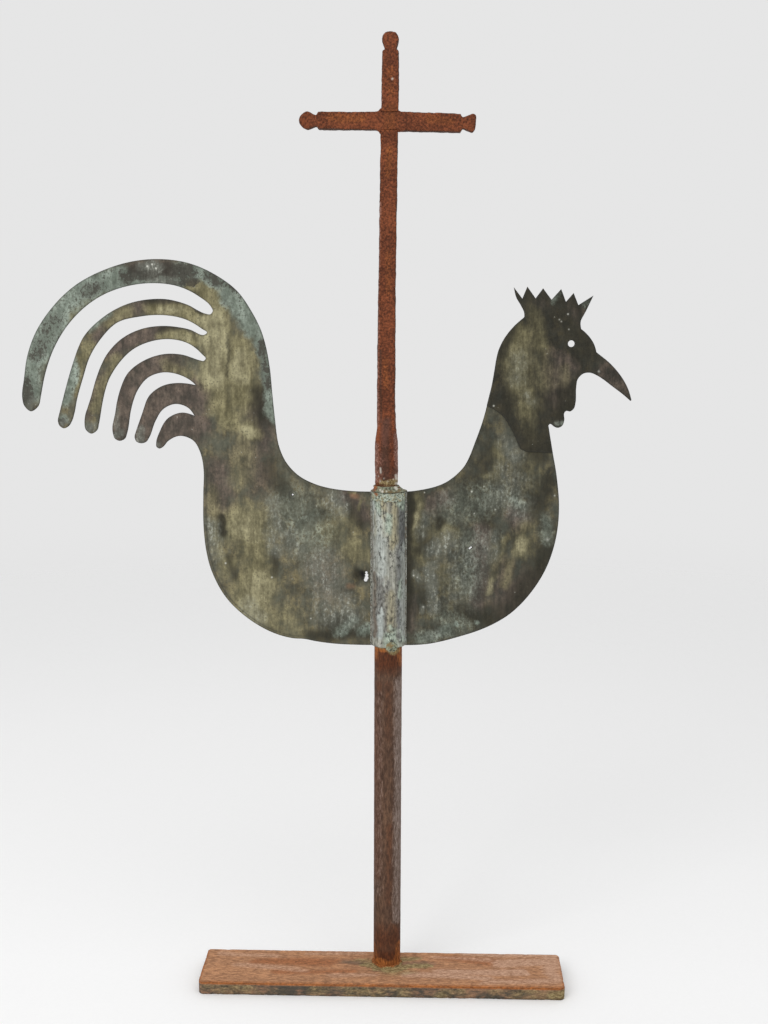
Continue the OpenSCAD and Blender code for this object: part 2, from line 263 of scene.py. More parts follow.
# ---- Shader building ----
class Shader:
    """One material's nodes: each method adds a node and returns its output"""

    def __init__(self, name, gloss=0.5):
        self.material = bpy.data.materials.new(name)
        self.material.use_nodes = True
        self.tree = self.material.node_tree
        self.surface = self.tree.nodes["Principled BSDF"]
        self.surface.inputs["Specular IOR Level"].default_value = gloss
        self.place = self.tree.nodes.new("ShaderNodeTexCoord").outputs["Object"]

    def put(self, value, socket):
        """Links an output to a socket, or sets the socket's own value"""
        if isinstance(value, bpy.types.NodeSocket):
            self.tree.links.new(value, socket)
        else:
            socket.default_value = value

    def math(self, operation, a, b, c=0.0):
        node = self.tree.nodes.new("ShaderNodeMath")
        node.operation = operation
        for value, socket in zip((a, b, c), node.inputs):
            self.put(value, socket)
        return node.outputs[0]

    def times(self, a, b):
        return self.math("MULTIPLY", a, b)

    def blend(self, a, share, b):
        """That share of a texture, and the rest of another"""
        return self.math("MULTIPLY_ADD", a, share, self.times(b, 1 - share))

    def scaled_place(self, shift, scale):
        """The place on the object, for a texture of its own size and seed"""
        mapping = self.tree.nodes.new("ShaderNodeMapping")
        self.put(self.place, mapping.inputs["Vector"])
        mapping.inputs["Location"].default_value = shift
        mapping.inputs["Scale"].default_value = scale
        return mapping.outputs["Vector"]

    def noise(self, size, detail=3.0, rough=0.55, stretch=(1, 1, 1), seed=0):
        """Noise of 0 to 1 with features of that size in millimetres"""
        scale = [1 / (size * MM * s) for s in stretch]
        node = self.tree.nodes.new("ShaderNodeTexNoise")
        self.put(self.scaled_place((seed * 1.3, seed * 0.7, seed * 2.1), scale), node.inputs["Vector"])
        node.inputs["Scale"].default_value = 1.0
        node.inputs["Detail"].default_value = detail
        node.inputs["Roughness"].default_value = rough
        return node.outputs["Fac"]

    def cells(self, size, seed=0):
        """Distance to scattered points, 0 at each point, spaced by that size in millimetres"""
        scale = [1 / (size * MM)] * 3
        node = self.tree.nodes.new("ShaderNodeTexVoronoi")
        self.put(self.scaled_place((seed * 2.3, seed * 1.7, seed * 0.9), scale), node.inputs["Vector"])
        node.inputs["Scale"].default_value = 1.0
        return node.outputs["Distance"]

    def step(self, value, low, high):
        """0 below low, 1 above high, smooth between; low may be the larger"""
        node = self.tree.nodes.new("ShaderNodeMapRange")
        node.interpolation_type = "SMOOTHSTEP"
        flip = low > high
        self.put(value, node.inputs["Value"])
        node.inputs["From Min"].default_value = min(low, high)
        node.inputs["From Max"].default_value = max(low, high)
        node.inputs["To Min"].default_value = 1.0 if flip else 0.0
        node.inputs["To Max"].default_value = 0.0 if flip else 1.0
        return node.outputs[0]

    def mix(self, amount, below, above, blend_type="MIX"):
        """Lays a colour over another, by that amount"""
        node = self.tree.nodes.new("ShaderNodeMix")
        node.data_type = "RGBA"
        node.blend_type = blend_type
        self.put(amount, node.inputs["Factor"])
        self.put(self.colour(below), node.inputs[6])
        self.put(self.colour(above), node.inputs[7])
        return node.outputs[2]

    def grade(self, texture, low, high, first, last):
        """One colour below low and another above high, by a texture"""
        return self.mix(self.step(texture, low, high), first, last)

    @staticmethod
    def colour(value):
        return value if isinstance(value, bpy.types.NodeSocket) else (*value, 1.0)

    def field(self, name):
        """A value painted on the mesh"""
        node = self.tree.nodes.new("ShaderNodeAttribute")
        node.attribute_name = name
        return node.outputs["Fac"]

    def shade(self, colour, texture, low, high):
        """Darkens or brightens a colour, from low to high, where a texture of 0 to 1 says"""
        shades = self.grade(texture, 0.25, 0.75, (low,) * 3, (high,) * 3)
        return self.mix(1.0, colour, shades, "MULTIPLY")

    def layer(self, below, above, name, texture, spread, soft, most=1.0):
        """Lays a colour over another where the mesh's field says, its border broken by a texture"""
        field = self.field(name)
        ragged = self.math("MULTIPLY_ADD", texture, spread, field)
        middle = 0.5 + spread / 2
        shown = self.times(self.step(ragged, middle - soft, middle + soft), most)
        return self.mix(self.times(shown, self.step(field, 0.0, 0.3)), below, above)

    def finish(self, colour, roughness, metallic, height, depth):
        """Wires the surface up; depth is the relief of the height texture, in millimetres"""
        self.put(self.colour(colour), self.surface.inputs["Base Color"])
        self.put(roughness, self.surface.inputs["Roughness"])
        self.put(metallic, self.surface.inputs["Metallic"])
        bump = self.tree.nodes.new("ShaderNodeBump")
        bump.inputs["Distance"].default_value = depth * MM
        self.put(height, bump.inputs["Height"])
        self.put(bump.outputs["Normal"], self.surface.inputs["Normal"])
        return self.material


# ---- Materials ----
ORANGE_RUST = (0.250, 0.082, 0.022)


def patina(name, light, deep, shine, seed):
    """Old copper sheet: grey-olive patina, brass rubbed through it, umber, verdigris and lime

    shine scales the colours of the rubbed brass.
    """
    s = Shader(name, 0.14)
    grain = s.noise(2.8, 5.0, 0.72, stretch=(1, 1, 1.3), seed=seed + 1)
    cloud = s.noise(24, 5.0, 0.6, seed=seed + 2)
    run = s.noise(4.0, 5.0, 0.65, stretch=(1, 1, 7), seed=seed + 3)
    blotch = s.noise(10, 6.0, 0.66, stretch=(1, 1, 1.4), seed=seed + 4)
    soft = s.blend(blotch, 0.7, run)
    rough_edge = s.blend(blotch, 0.5, grain)

    colour = s.grade(cloud, 0.34, 0.66, deep, light)
    warm = s.times(s.step(blotch, 0.48, 0.66), 0.6)
    colour = s.mix(warm, colour, [c * f for c, f in zip(light, (1.35, 1.18, 0.85))])
    cool = s.times(s.step(blotch, 0.50, 0.34), 0.5)
    colour = s.mix(cool, colour, [c * f for c, f in zip(light, (0.82, 0.95, 1.06))])

    umber = s.grade(soft, 0.36, 0.64, (0.056, 0.046, 0.038), (0.124, 0.094, 0.078))
    colour = s.layer(colour, umber, "umber", soft, 1.1, 0.55, 0.85)
    dull = [c * shine for c in (0.130, 0.114, 0.058)]
    bright = [c * shine for c in (0.218, 0.196, 0.108)]
    rubbed = s.grade(soft, 0.36, 0.62, dull, bright)
    colour = s.layer(colour, rubbed, "ochre", soft, 1.3, 0.6, 0.95)
    pale = s.grade(soft, 0.36, 0.62, (0.200, 0.180, 0.105), (0.300, 0.276, 0.165))
    colour = s.layer(colour, pale, "brass", soft, 1.5, 0.6, 0.95)
    # dark: dark patina, and painted shade in the dents, the torn hole and beside the sleeve
    colour = s.layer(colour, (0.026, 0.024, 0.016), "dark", rough_edge, 1.1, 0.55, 0.88)
    green = s.grade(blotch, 0.34, 0.66, (0.145, 0.170, 0.136), (0.238, 0.276, 0.232))
    pepper = s.times(s.step(grain, 0.48, 0.40), s.step(blotch, 0.44, 0.54))
    green = s.mix(s.times(pepper, 0.75), green, (0.062, 0.060, 0.046))
    colour = s.layer(colour, green, "verdigris", rough_edge, 1.3, 0.4)
    flaked = s.blend(grain, 0.6, blotch)
    colour = s.layer(colour, (0.042, 0.037, 0.029), "flake", flaked, 2.6, 0.12, 0.9)
    pits = s.times(s.step(s.cells(3.0, seed), 0.40, 0.16), s.step(blotch, 0.47, 0.60))
    colour = s.mix(s.times(pits, 0.5), colour, (0.045, 0.040, 0.030))
    scratched = s.blend(grain, 0.6, run)
    colour = s.layer(colour, (0.215, 0.226, 0.192), "frost", scratched, 1.6, 0.6, 0.42)
    flecks = s.times(s.step(scratched, 0.53, 0.62), s.step(s.field("frost"), 0.1, 0.8))
    colour = s.mix(s.times(flecks, 0.6), colour, (0.300, 0.310, 0.270))
    dots = s.times(s.step(s.cells(7, seed + 1), 0.11, 0.07), s.step(blotch, 0.56, 0.60))
    colour = s.mix(s.times(dots, 0.6), colour, (0.34, 0.34, 0.30))
    colour = s.mix(s.times(s.field("copper"), 0.8), colour, (0.24, 0.13, 0.070))
    colour = s.shade(colour, run, 0.84, 1.16)
    colour = s.shade(colour, blotch, 0.84, 1.16)
    colour = s.shade(colour, grain, 0.76, 1.24)
    colour = s.mix(s.field("speck"), colour, (0.62, 0.62, 0.55))
    # painted shade, near black, in the torn hole
    colour = s.mix(s.field("hole_shade"), colour, (0.010, 0.009, 0.008))
    # a dark line along the cut edge, and painted shade along the hem's step
    colour = s.mix(s.times(s.field("edge"), 0.6), colour, (0.030, 0.030, 0.026))

    roughness = s.math("MULTIPLY_ADD", grain, 0.35, 0.40)
    relief = s.blend(grain, 0.55, blotch)
    return s.finish(colour, roughness, 0.0, relief, 0.3)


def rust(name, dark, middle, bright, size, seed, roughness=0.85, stretch=(1, 1, 1),
         orange_rust=ORANGE_RUST, soot_and_shade_colour=(0.050, 0.026, 0.016)):
    """Rusty iron: dark scale and brighter rust in grains, with fields of orange rust, soot and wear; the
    wear field also holds painted highlights on the cross and the post, and the soot field holds painted
    shade on the cross's sides
    """
    s = Shader(name, 0.2)
    fine = s.noise(1.3, 4.0, 0.7, stretch, seed)
    grain = s.noise(size, 5.0, 0.7, stretch, seed + 1)
    cloud = s.noise(22, 5.0, 0.62, stretch, seed + 2)
    both = s.blend(grain, 0.5, fine)
    wide = s.blend(cloud, 0.5, grain)
    colour = s.grade(grain, 0.30, 0.66, dark, middle)
    colour = s.mix(s.times(s.step(wide, 0.44, 0.64), 0.8), colour, bright)
    orange = s.grade(both, 0.35, 0.65, [c * 0.55 for c in orange_rust], orange_rust)
    colour = s.layer(colour, orange, "orange", wide, 1.3, 0.55, 0.92)
    glow = s.grade(both, 0.35, 0.65, (0.170, 0.050, 0.012), (0.370, 0.125, 0.030))
    colour = s.layer(colour, glow, "glow", wide, 1.3, 0.5, 0.92)
    # pale wear, and painted highlights down the post's sides and the cross's edges
    dull_wear_and_highlight = [c * 0.9 + 0.02 for c in middle]
    pale_wear_and_highlight = [c * 0.75 + 0.13 for c in bright]
    wear = s.grade(both, 0.35, 0.65, dull_wear_and_highlight, pale_wear_and_highlight)
    colour = s.layer(colour, wear, "grey", both, 1.8, 0.45, 0.9)
    # soot, and painted shade: the cross's sides and corners are darkened here too
    soot_and_shade = s.grade(wide, 0.42, 0.62, soot_and_shade_colour, [c * 0.6 + 0.02 for c in middle])
    colour = s.layer(colour, soot_and_shade, "soot_and_shade", wide, 1.1, 0.5, 0.95)
    crust = s.grade(both, 0.38, 0.62, (0.13, 0.085, 0.030), (0.33, 0.27, 0.13))
    colour = s.layer(colour, crust, "crust", wide, 1.6, 0.5, 0.88)
    colour = s.shade(colour, fine, 0.70, 1.26)
    colour = s.shade(colour, grain, 0.84, 1.14)
    colour = s.mix(s.times(s.field("speck"), 0.9), colour, (0.62, 0.58, 0.51))
    relief = s.blend(grain, 0.6, fine)
    return s.finish(colour, s.math("MULTIPLY_ADD", fine, 0.2, roughness - 0.1), 0.0, relief, 0.45)


def sleeve_patina():
    """Pale grey and violet copper channel, streaked downwards with lime and verdigris"""
    s = Shader("sleeve_patina", 0.3)
    fine = s.noise(1.3, 4.0, 0.7, stretch=(1, 1, 1.5), seed=21)
    grain = s.noise(2.8, 5.0, 0.7, stretch=(1, 1, 1.6), seed=22)
    run = s.noise(2.0, 5.0, 0.66, stretch=(1, 1, 10), seed=23)
    cloud = s.noise(7, 5.0, 0.62, stretch=(1, 1, 3), seed=24)
    mixed = s.blend(run, 0.5, cloud)
    colour = s.grade(mixed, 0.36, 0.62, (0.200, 0.197, 0.160), (0.350, 0.348, 0.298))
    violet = s.grade(grain, 0.35, 0.65, (0.088, 0.084, 0.078), (0.185, 0.184, 0.170))
    colour = s.layer(colour, violet, "violet", mixed, 1.6, 0.65, 0.9)
    slate = s.grade(grain, 0.35, 0.65, (0.075, 0.078, 0.076), (0.135, 0.140, 0.138))
    colour = s.layer(colour, slate, "slate", mixed, 1.3, 0.55, 0.95)
    ochre = s.grade(run, 0.35, 0.65, (0.215, 0.180, 0.095), (0.330, 0.300, 0.185))
    colour = s.layer(colour, ochre, "ochre", mixed, 1.6, 0.6, 0.8)
    green = s.grade(grain, 0.35, 0.65, (0.200, 0.245, 0.195), (0.385, 0.445, 0.360))
    colour = s.layer(colour, green, "verdigris", mixed, 1.5, 0.5, 0.92)
    colour = s.layer(colour, (0.400, 0.435, 0.410), "frost", mixed, 1.8, 0.6, 0.75)
    colour = s.mix(s.times(s.field("copper"), 0.8), colour, (0.36, 0.17, 0.08))
    colour = s.layer(colour, (0.125, 0.090, 0.064), "umber", mixed, 1.2, 0.5, 0.75)
    pepper = s.times(s.step(grain, 0.49, 0.38), s.step(cloud, 0.42, 0.54))
    colour = s.mix(s.times(pepper, 0.85), colour, (0.052, 0.050, 0.040))
    colour = s.shade(colour, run, 0.82, 1.18)
    colour = s.shade(colour, grain, 0.72, 1.26)
    relief = s.blend(run, 0.5, grain)
    return s.finish(colour, s.math("MULTIPLY_ADD", fine, 0.25, 0.45), 0.0, relief, 0.5)


def solder_crust(name, pale, green, stain, seed):
    """Weathered soft solder: grey-green crust with pale lime, rusty stains and black cracks"""
    s = Shader(name, 0.3)
    fine = s.noise(0.9, 4.0, 0.65, seed=seed)
    grain = s.noise(2.2, 5.0, 0.7, seed=seed + 1)
    cloud = s.noise(6, 4.0, 0.6, seed=seed + 2)
    colour = s.grade(grain, 0.34, 0.62, green, pale)
    colour = s.mix(s.times(s.step(cloud, 0.46, 0.64), 0.8), colour, stain)
    colour = s.layer(colour, ORANGE_RUST, "orange", grain, 1.5, 0.5)
    cracks = s.times(s.step(grain, 0.50, 0.39), s.step(cloud, 0.60, 0.44))
    colour = s.mix(s.times(cracks, 0.88), colour, (0.036, 0.032, 0.022))
    colour = s.shade(colour, fine, 0.70, 1.26)
    colour = s.mix(s.field("speck"), colour, (0.62, 0.60, 0.53))
    relief = s.blend(grain, 0.6, fine)
    return s.finish(colour, s.math("MULTIPLY_ADD", grain, 0.3, 0.45), 0.0, relief, 0.5)


def bearing_bronze():
    """Greasy bronze of the hidden bearings, rubbed bright in rings"""
    s = Shader("bearing_bronze")
    ring = s.noise(2.0, 3.0, 0.6, stretch=(20, 20, 1), seed=41)
    grain = s.noise(6, 4.0, 0.6, seed=42)
    colour = s.grade(ring, 0.35, 0.65, (0.30, 0.16, 0.06), (0.55, 0.33, 0.13))
    colour = s.grade(grain, 0.55, 0.7, colour, (0.10, 0.07, 0.035))
    return s.finish(colour, s.math("MULTIPLY_ADD", ring, 0.2, 0.28), 0.9, ring, 0.05)


# ---- Copper skins ----
# Dents pushed through both skins towards the back: centre, radius and depth, in millimetres
DENTS = [
    ((-176, 511), 7, 2.2), ((-152, 510), 16, -1.3), ((-142, 470), 16, -0.9), ((-121, 462), 7, 1.6),
    ((-31, 457), 5, 3.0), ((52, 517), 6, 1.8), ((64, 505), 9, -0.7), ((27, 478), 6, 0.8),
    ((-108, 497), 6, 0.7), ((91.5, 525), 2.5, 0.6), ((114, 530), 3, 0.7), ((75, 400), 3, -0.6),
    ((95.7, 406.5), 4, -0.6), ((-60, 500), 22, 0.8), ((118, 455), 20, 0.9), ((150, 640), 24, -0.9),
    ((-170, 700), 20, 0.8), ((-150, 600), 18, -0.8), ((103, 487), 3, 0.6)
]


def sheet_wave(x, z, points):
    """How far the pair of skins bends to the back at places, in metres; none at the sleeve"""
    away = smooth_step(np.abs(x), 20, 42)
    wave = 1.0 * noise_at(points, 95 * MM, 1, 2) + 0.35 * noise_at(points, 30 * MM, 2, 2)
    wave = wave * away
    near = smooth_step(np.abs(x), 18, 26)
    for (dx, dz), radius, depth in DENTS:
        wave = wave + near * depth * np.exp(-((x - dx) ** 2 + (z - dz) ** 2) / radius ** 2)
    return wave * MM


def boundary_loops(bm):
    """The (x, z) loops round a flat mesh's open edges"""
    loops = []
    ends = {v: [e.other_vert(v) for e in v.link_edges if e.is_boundary] for v in bm.verts}
    left = {v for v in bm.verts if ends[v]}
    while left:
        first = min(left, key=lambda v: (v.co.x, v.co.z))
        loop = [first]
        left.discard(first)
        while True:
            ahead = [v for v in ends[loop[-1]] if v in left]
            if not ahead:
                break
            loop.append(ahead[0])
            left.discard(ahead[0])
        loops.append(np.array([(v.co.x, v.co.z) for v in loop]))
    return loops


def rounded_loop(loop):
    """A loop sampled every edge_step, curved through its points except at sharp corners"""
    before, after = np.roll(loop, 1, 0), np.roll(loop, -1, 0)
    ab, bc = loop - before, after - loop
    la = np.linalg.norm(ab, axis=1)[:, None]
    lb = np.linalg.norm(bc, axis=1)[:, None]
    turn = np.degrees(np.arccos(np.clip(np.sum(ab * bc, 1) / (la * lb)[:, 0], -1, 1)))
    slope = (ab / la * lb + bc / lb * la) / (la + lb)
    corner = turn > 24
    points = []
    for i in range(len(loop)):
        j = (i + 1) % len(loop)
        chord = (loop[j] - loop[i]) / lb[i]
        start = chord if corner[i] else slope[i]
        end = chord if corner[j] else slope[j]
        steps = max(1, int(round(lb[i, 0] / edge_step)))
        for u in np.arange(steps) / steps:
            points.append(
                (2 * u ** 3 - 3 * u ** 2 + 1) * loop[i] + (u ** 3 - 2 * u ** 2 + u) * start * lb[i]
                + (3 * u ** 2 - 2 * u ** 3) * loop[j] + (u ** 3 - u ** 2) * end * lb[i])
    return np.array(points)


def inside(points, loops):
    """Whether (x, z) points lie inside the area between the loops"""
    count = np.zeros(len(points), int)
    for loop in loops:
        ahead = np.roll(loop, -1, 0)
        for (ax, az), (bx, bz) in zip(loop, ahead):
            if az == bz:
                continue
            crosses = (points[:, 1] < az) != (points[:, 1] < bz)
            at = ax + (points[:, 1] - az) / (bz - az) * (bx - ax)
            count += crosses & (points[:, 0] < at)
    return count % 2 == 1


def inward_points(loops, offset):
    """Points beside each loop, moved into the sheet by the offset"""
    made = []
    for loop in loops:
        along = np.roll(loop, -1, 0) - np.roll(loop, 1, 0)
        across = np.stack([-along[:, 1], along[:, 0]], 1)
        across = across / np.linalg.norm(across, axis=1)[:, None]
        trial = loop + across * offset
        flip = ~inside(trial, loops)
        trial[flip] = loop[flip] - across[flip] * offset
        made.append(trial)
    return np.concatenate(made)


def tree_of(points):
    """A search tree of (x, z) points"""
    tree = kdtree.KDTree(len(points))
    for i, (x, z) in enumerate(points):
        tree.insert((x, 0, z), i)
    tree.balance()
    return tree


def distances(tree, points):
    """Distance of (x, z) points from the nearest of a tree"""
    return np.array([tree.find((x, 0, z))[2] for x, z in points])


def rings_round(marks):
    """Points round small marks, so that their field stays crisp"""
    made = [np.zeros((0, 2))]
    for x, z in marks:
        for radius, count in ((0, 1), (0.7, 7), (1.4, 11)):
            turn = np.linspace(0, 2 * math.pi, count, endpoint=False)
            made.append(np.stack([x + radius * np.cos(turn), z + radius * np.sin(turn)], 1) * MM)
    return np.concatenate(made)


def flat_triangles(loops, marks):
    """Points (x, z) and triangles that fill the loops evenly, finer along the edges and at marks"""
    outline = np.concatenate(loops)
    tree = tree_of(outline)
    low, high = outline.min(0), outline.max(0)
    columns = np.arange(low[0], high[0], grid_step)
    rows = np.arange(low[1], high[1], grid_step * TRIANGLE_HEIGHT)
    grid = np.array([(x + (k % 2) * grid_step / 2, z) for k, z in enumerate(rows) for x in columns])
    grid = grid[distances(tree, grid) > 0.8 * grid_step]
    grid = grid[inside(grid, loops)]
    rings = []
    for share in (0.35, 1.1, 2.6, 5.3, 6.7, 8.1):
        ring = inward_points(loops, share * edge_round)
        ring = ring[inside(ring, loops)]
        rings.append(ring[distances(tree, ring) > 0.8 * share * edge_round])
    dense = rings_round(marks)
    dense = dense[inside(dense, loops)]
    dense = dense[distances(tree, dense) > 0.5 * edge_step]
    points = np.concatenate([outline, *rings, dense, grid])
    edges = []
    start = 0
    for loop in loops:
        edges += [(start + i, start + (i + 1) % len(loop)) for i in range(len(loop))]
        start += len(loop)
    made = delaunay_2d_cdt([Vector(p) for p in points], edges, [], 0, 1e-7)
    flat = np.array([tuple(p) for p in made[0]])
    triangles = np.array(made[2])
    middles = flat[triangles].mean(1)
    return flat, triangles[inside(middles, loops)]


def closed_sheet(name, front, back, triangles):
    """A closed mesh between two point lists with the same triangles, with walls at open edges"""
    count = len(front)
    faces = [tuple(t) for t in triangles]
    edges = [(p, q) for a, b, c in faces for p, q in ((a, b), (b, c), (c, a))]
    seen = {}
    for edge in edges:
        seen[frozenset(edge)] = seen.get(frozenset(edge), 0) + 1
    walls = [(q, p, p + count, q + count) for p, q in edges if seen[frozenset((p, q))] == 1]
    backs = [(c + count, b + count, a + count) for a, b, c in faces]
    return made_mesh(name, [tuple(p) for p in np.concatenate([front, back])], faces + backs + walls)


def outline_of(node, side):
    """The rounded loops of a CAD skin's outward face, and the lapped stretch of it, if any"""
    bm = bmesh.new()
    bm.from_mesh(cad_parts[node].data)
    inner = [f for f in bm.faces if f.normal.y * side < 0.5]
    bmesh.ops.delete(bm, geom=inner, context="FACES")
    bmesh.ops.remove_doubles(bm, verts=bm.verts, dist=1e-6)
    deep = [f for f in bm.faces if abs(f.calc_center_median().y) > skin_t * 1.2]
    lap = None
    if deep:
        corners = [Vector((v.co.x, 0, v.co.z)) for f in deep for v in f.verts]
        triples = [tuple(range(3 * i, 3 * i + 3)) for i in range(len(deep))]
        lap = BVHTree.FromPolygons(corners, triples)
    for v in bm.verts:
        v.co.y = 0
    bmesh.ops.remove_doubles(bm, verts=bm.verts, dist=2e-6)
    loops = [rounded_loop(loop) for loop in boundary_loops(bm)]
    bm.free()
    return loops, lap


HEM_WIDTH = 3.0


def under_tail(x, z):
    """Where the tail sheet's edge is hemmed, under the tail and round the belly"""
    return smooth_step(x, -60, -120) * smooth_step(z, 600, 560)


def skin_mesh(node, side, strokes):
    """A copper skin from its CAD node: waved, dented, round at its edges, with its patina painted"""
    loops, lap = outline_of(node, side)
    small = strokes["speck"] + strokes.get("hole_shade", [])
    flat, triangles = flat_triangles(loops, [place for stroke in small for place in stroke[2:]])
    edge_tree = tree_of(np.concatenate(loops))

    x, z = flat[:, 0] / MM, flat[:, 1] / MM
    middle = np.stack([flat[:, 0], np.zeros(len(flat)), flat[:, 1]], 1)
    from_edge = distances(edge_tree, flat)
    thick = np.full(len(flat), skin_t)
    if lap:
        off = np.array([lap.find_nearest(p)[3] for p in middle])
        thick = skin_t + (lap_t - skin_t) * smooth_step(off, lap_slope, 0)
    inset = np.clip(edge_round - from_edge, 0, None)
    round_off = edge_round - np.sqrt(np.clip(edge_round ** 2 - inset ** 2, 0, None))
    hem = smooth_step(from_edge / MM, HEM_WIDTH + 0.4, HEM_WIDTH - 0.4) * under_tail(x, z)
    grain = noise_at(middle, 5 * MM, 3 + side, 2)
    proud = thick - round_off + (0.35 * hem + 0.05 * grain) * MM
    wave = sheet_wave(x, z, middle)
    front = np.stack([flat[:, 0], side * proud + wave, flat[:, 1]], 1)
    back = np.stack([flat[:, 0], wave, flat[:, 1]], 1)
    mesh = closed_sheet(node + "_skin", front, back, triangles)
    paint_skin(mesh, edge_tree, strokes)
    return mesh


def paint_skin(mesh, edge_tree, strokes):
    """Paints the patina's strokes, the dark line along the sheet's edge, and painted shade along the step of
    the hem
    """
    points = coordinates(mesh)
    x, z = points[:, 0] / MM, points[:, 2] / MM
    for field in ("copper", "speck", "hole_shade"):
        set_field(mesh, field, painted(strokes.get(field, []), x, z))
    across, up = drifted(points)
    for field in ("ochre", "brass", "umber", "dark", "verdigris", "flake", "frost"):
        set_field(mesh, field, painted(strokes.get(field, []), across, up))
    from_edge = distances(edge_tree, points[:, [0, 2]]) / MM
    # painted shade along the step where the hem rises from the sheet
    hem_step_shade = np.exp(-((from_edge - HEM_WIDTH) / 0.7) ** 2) * under_tail(x, z)
    set_field(mesh, "edge", np.maximum(smooth_step(from_edge, 1.6, 0.3), hem_step_shade))


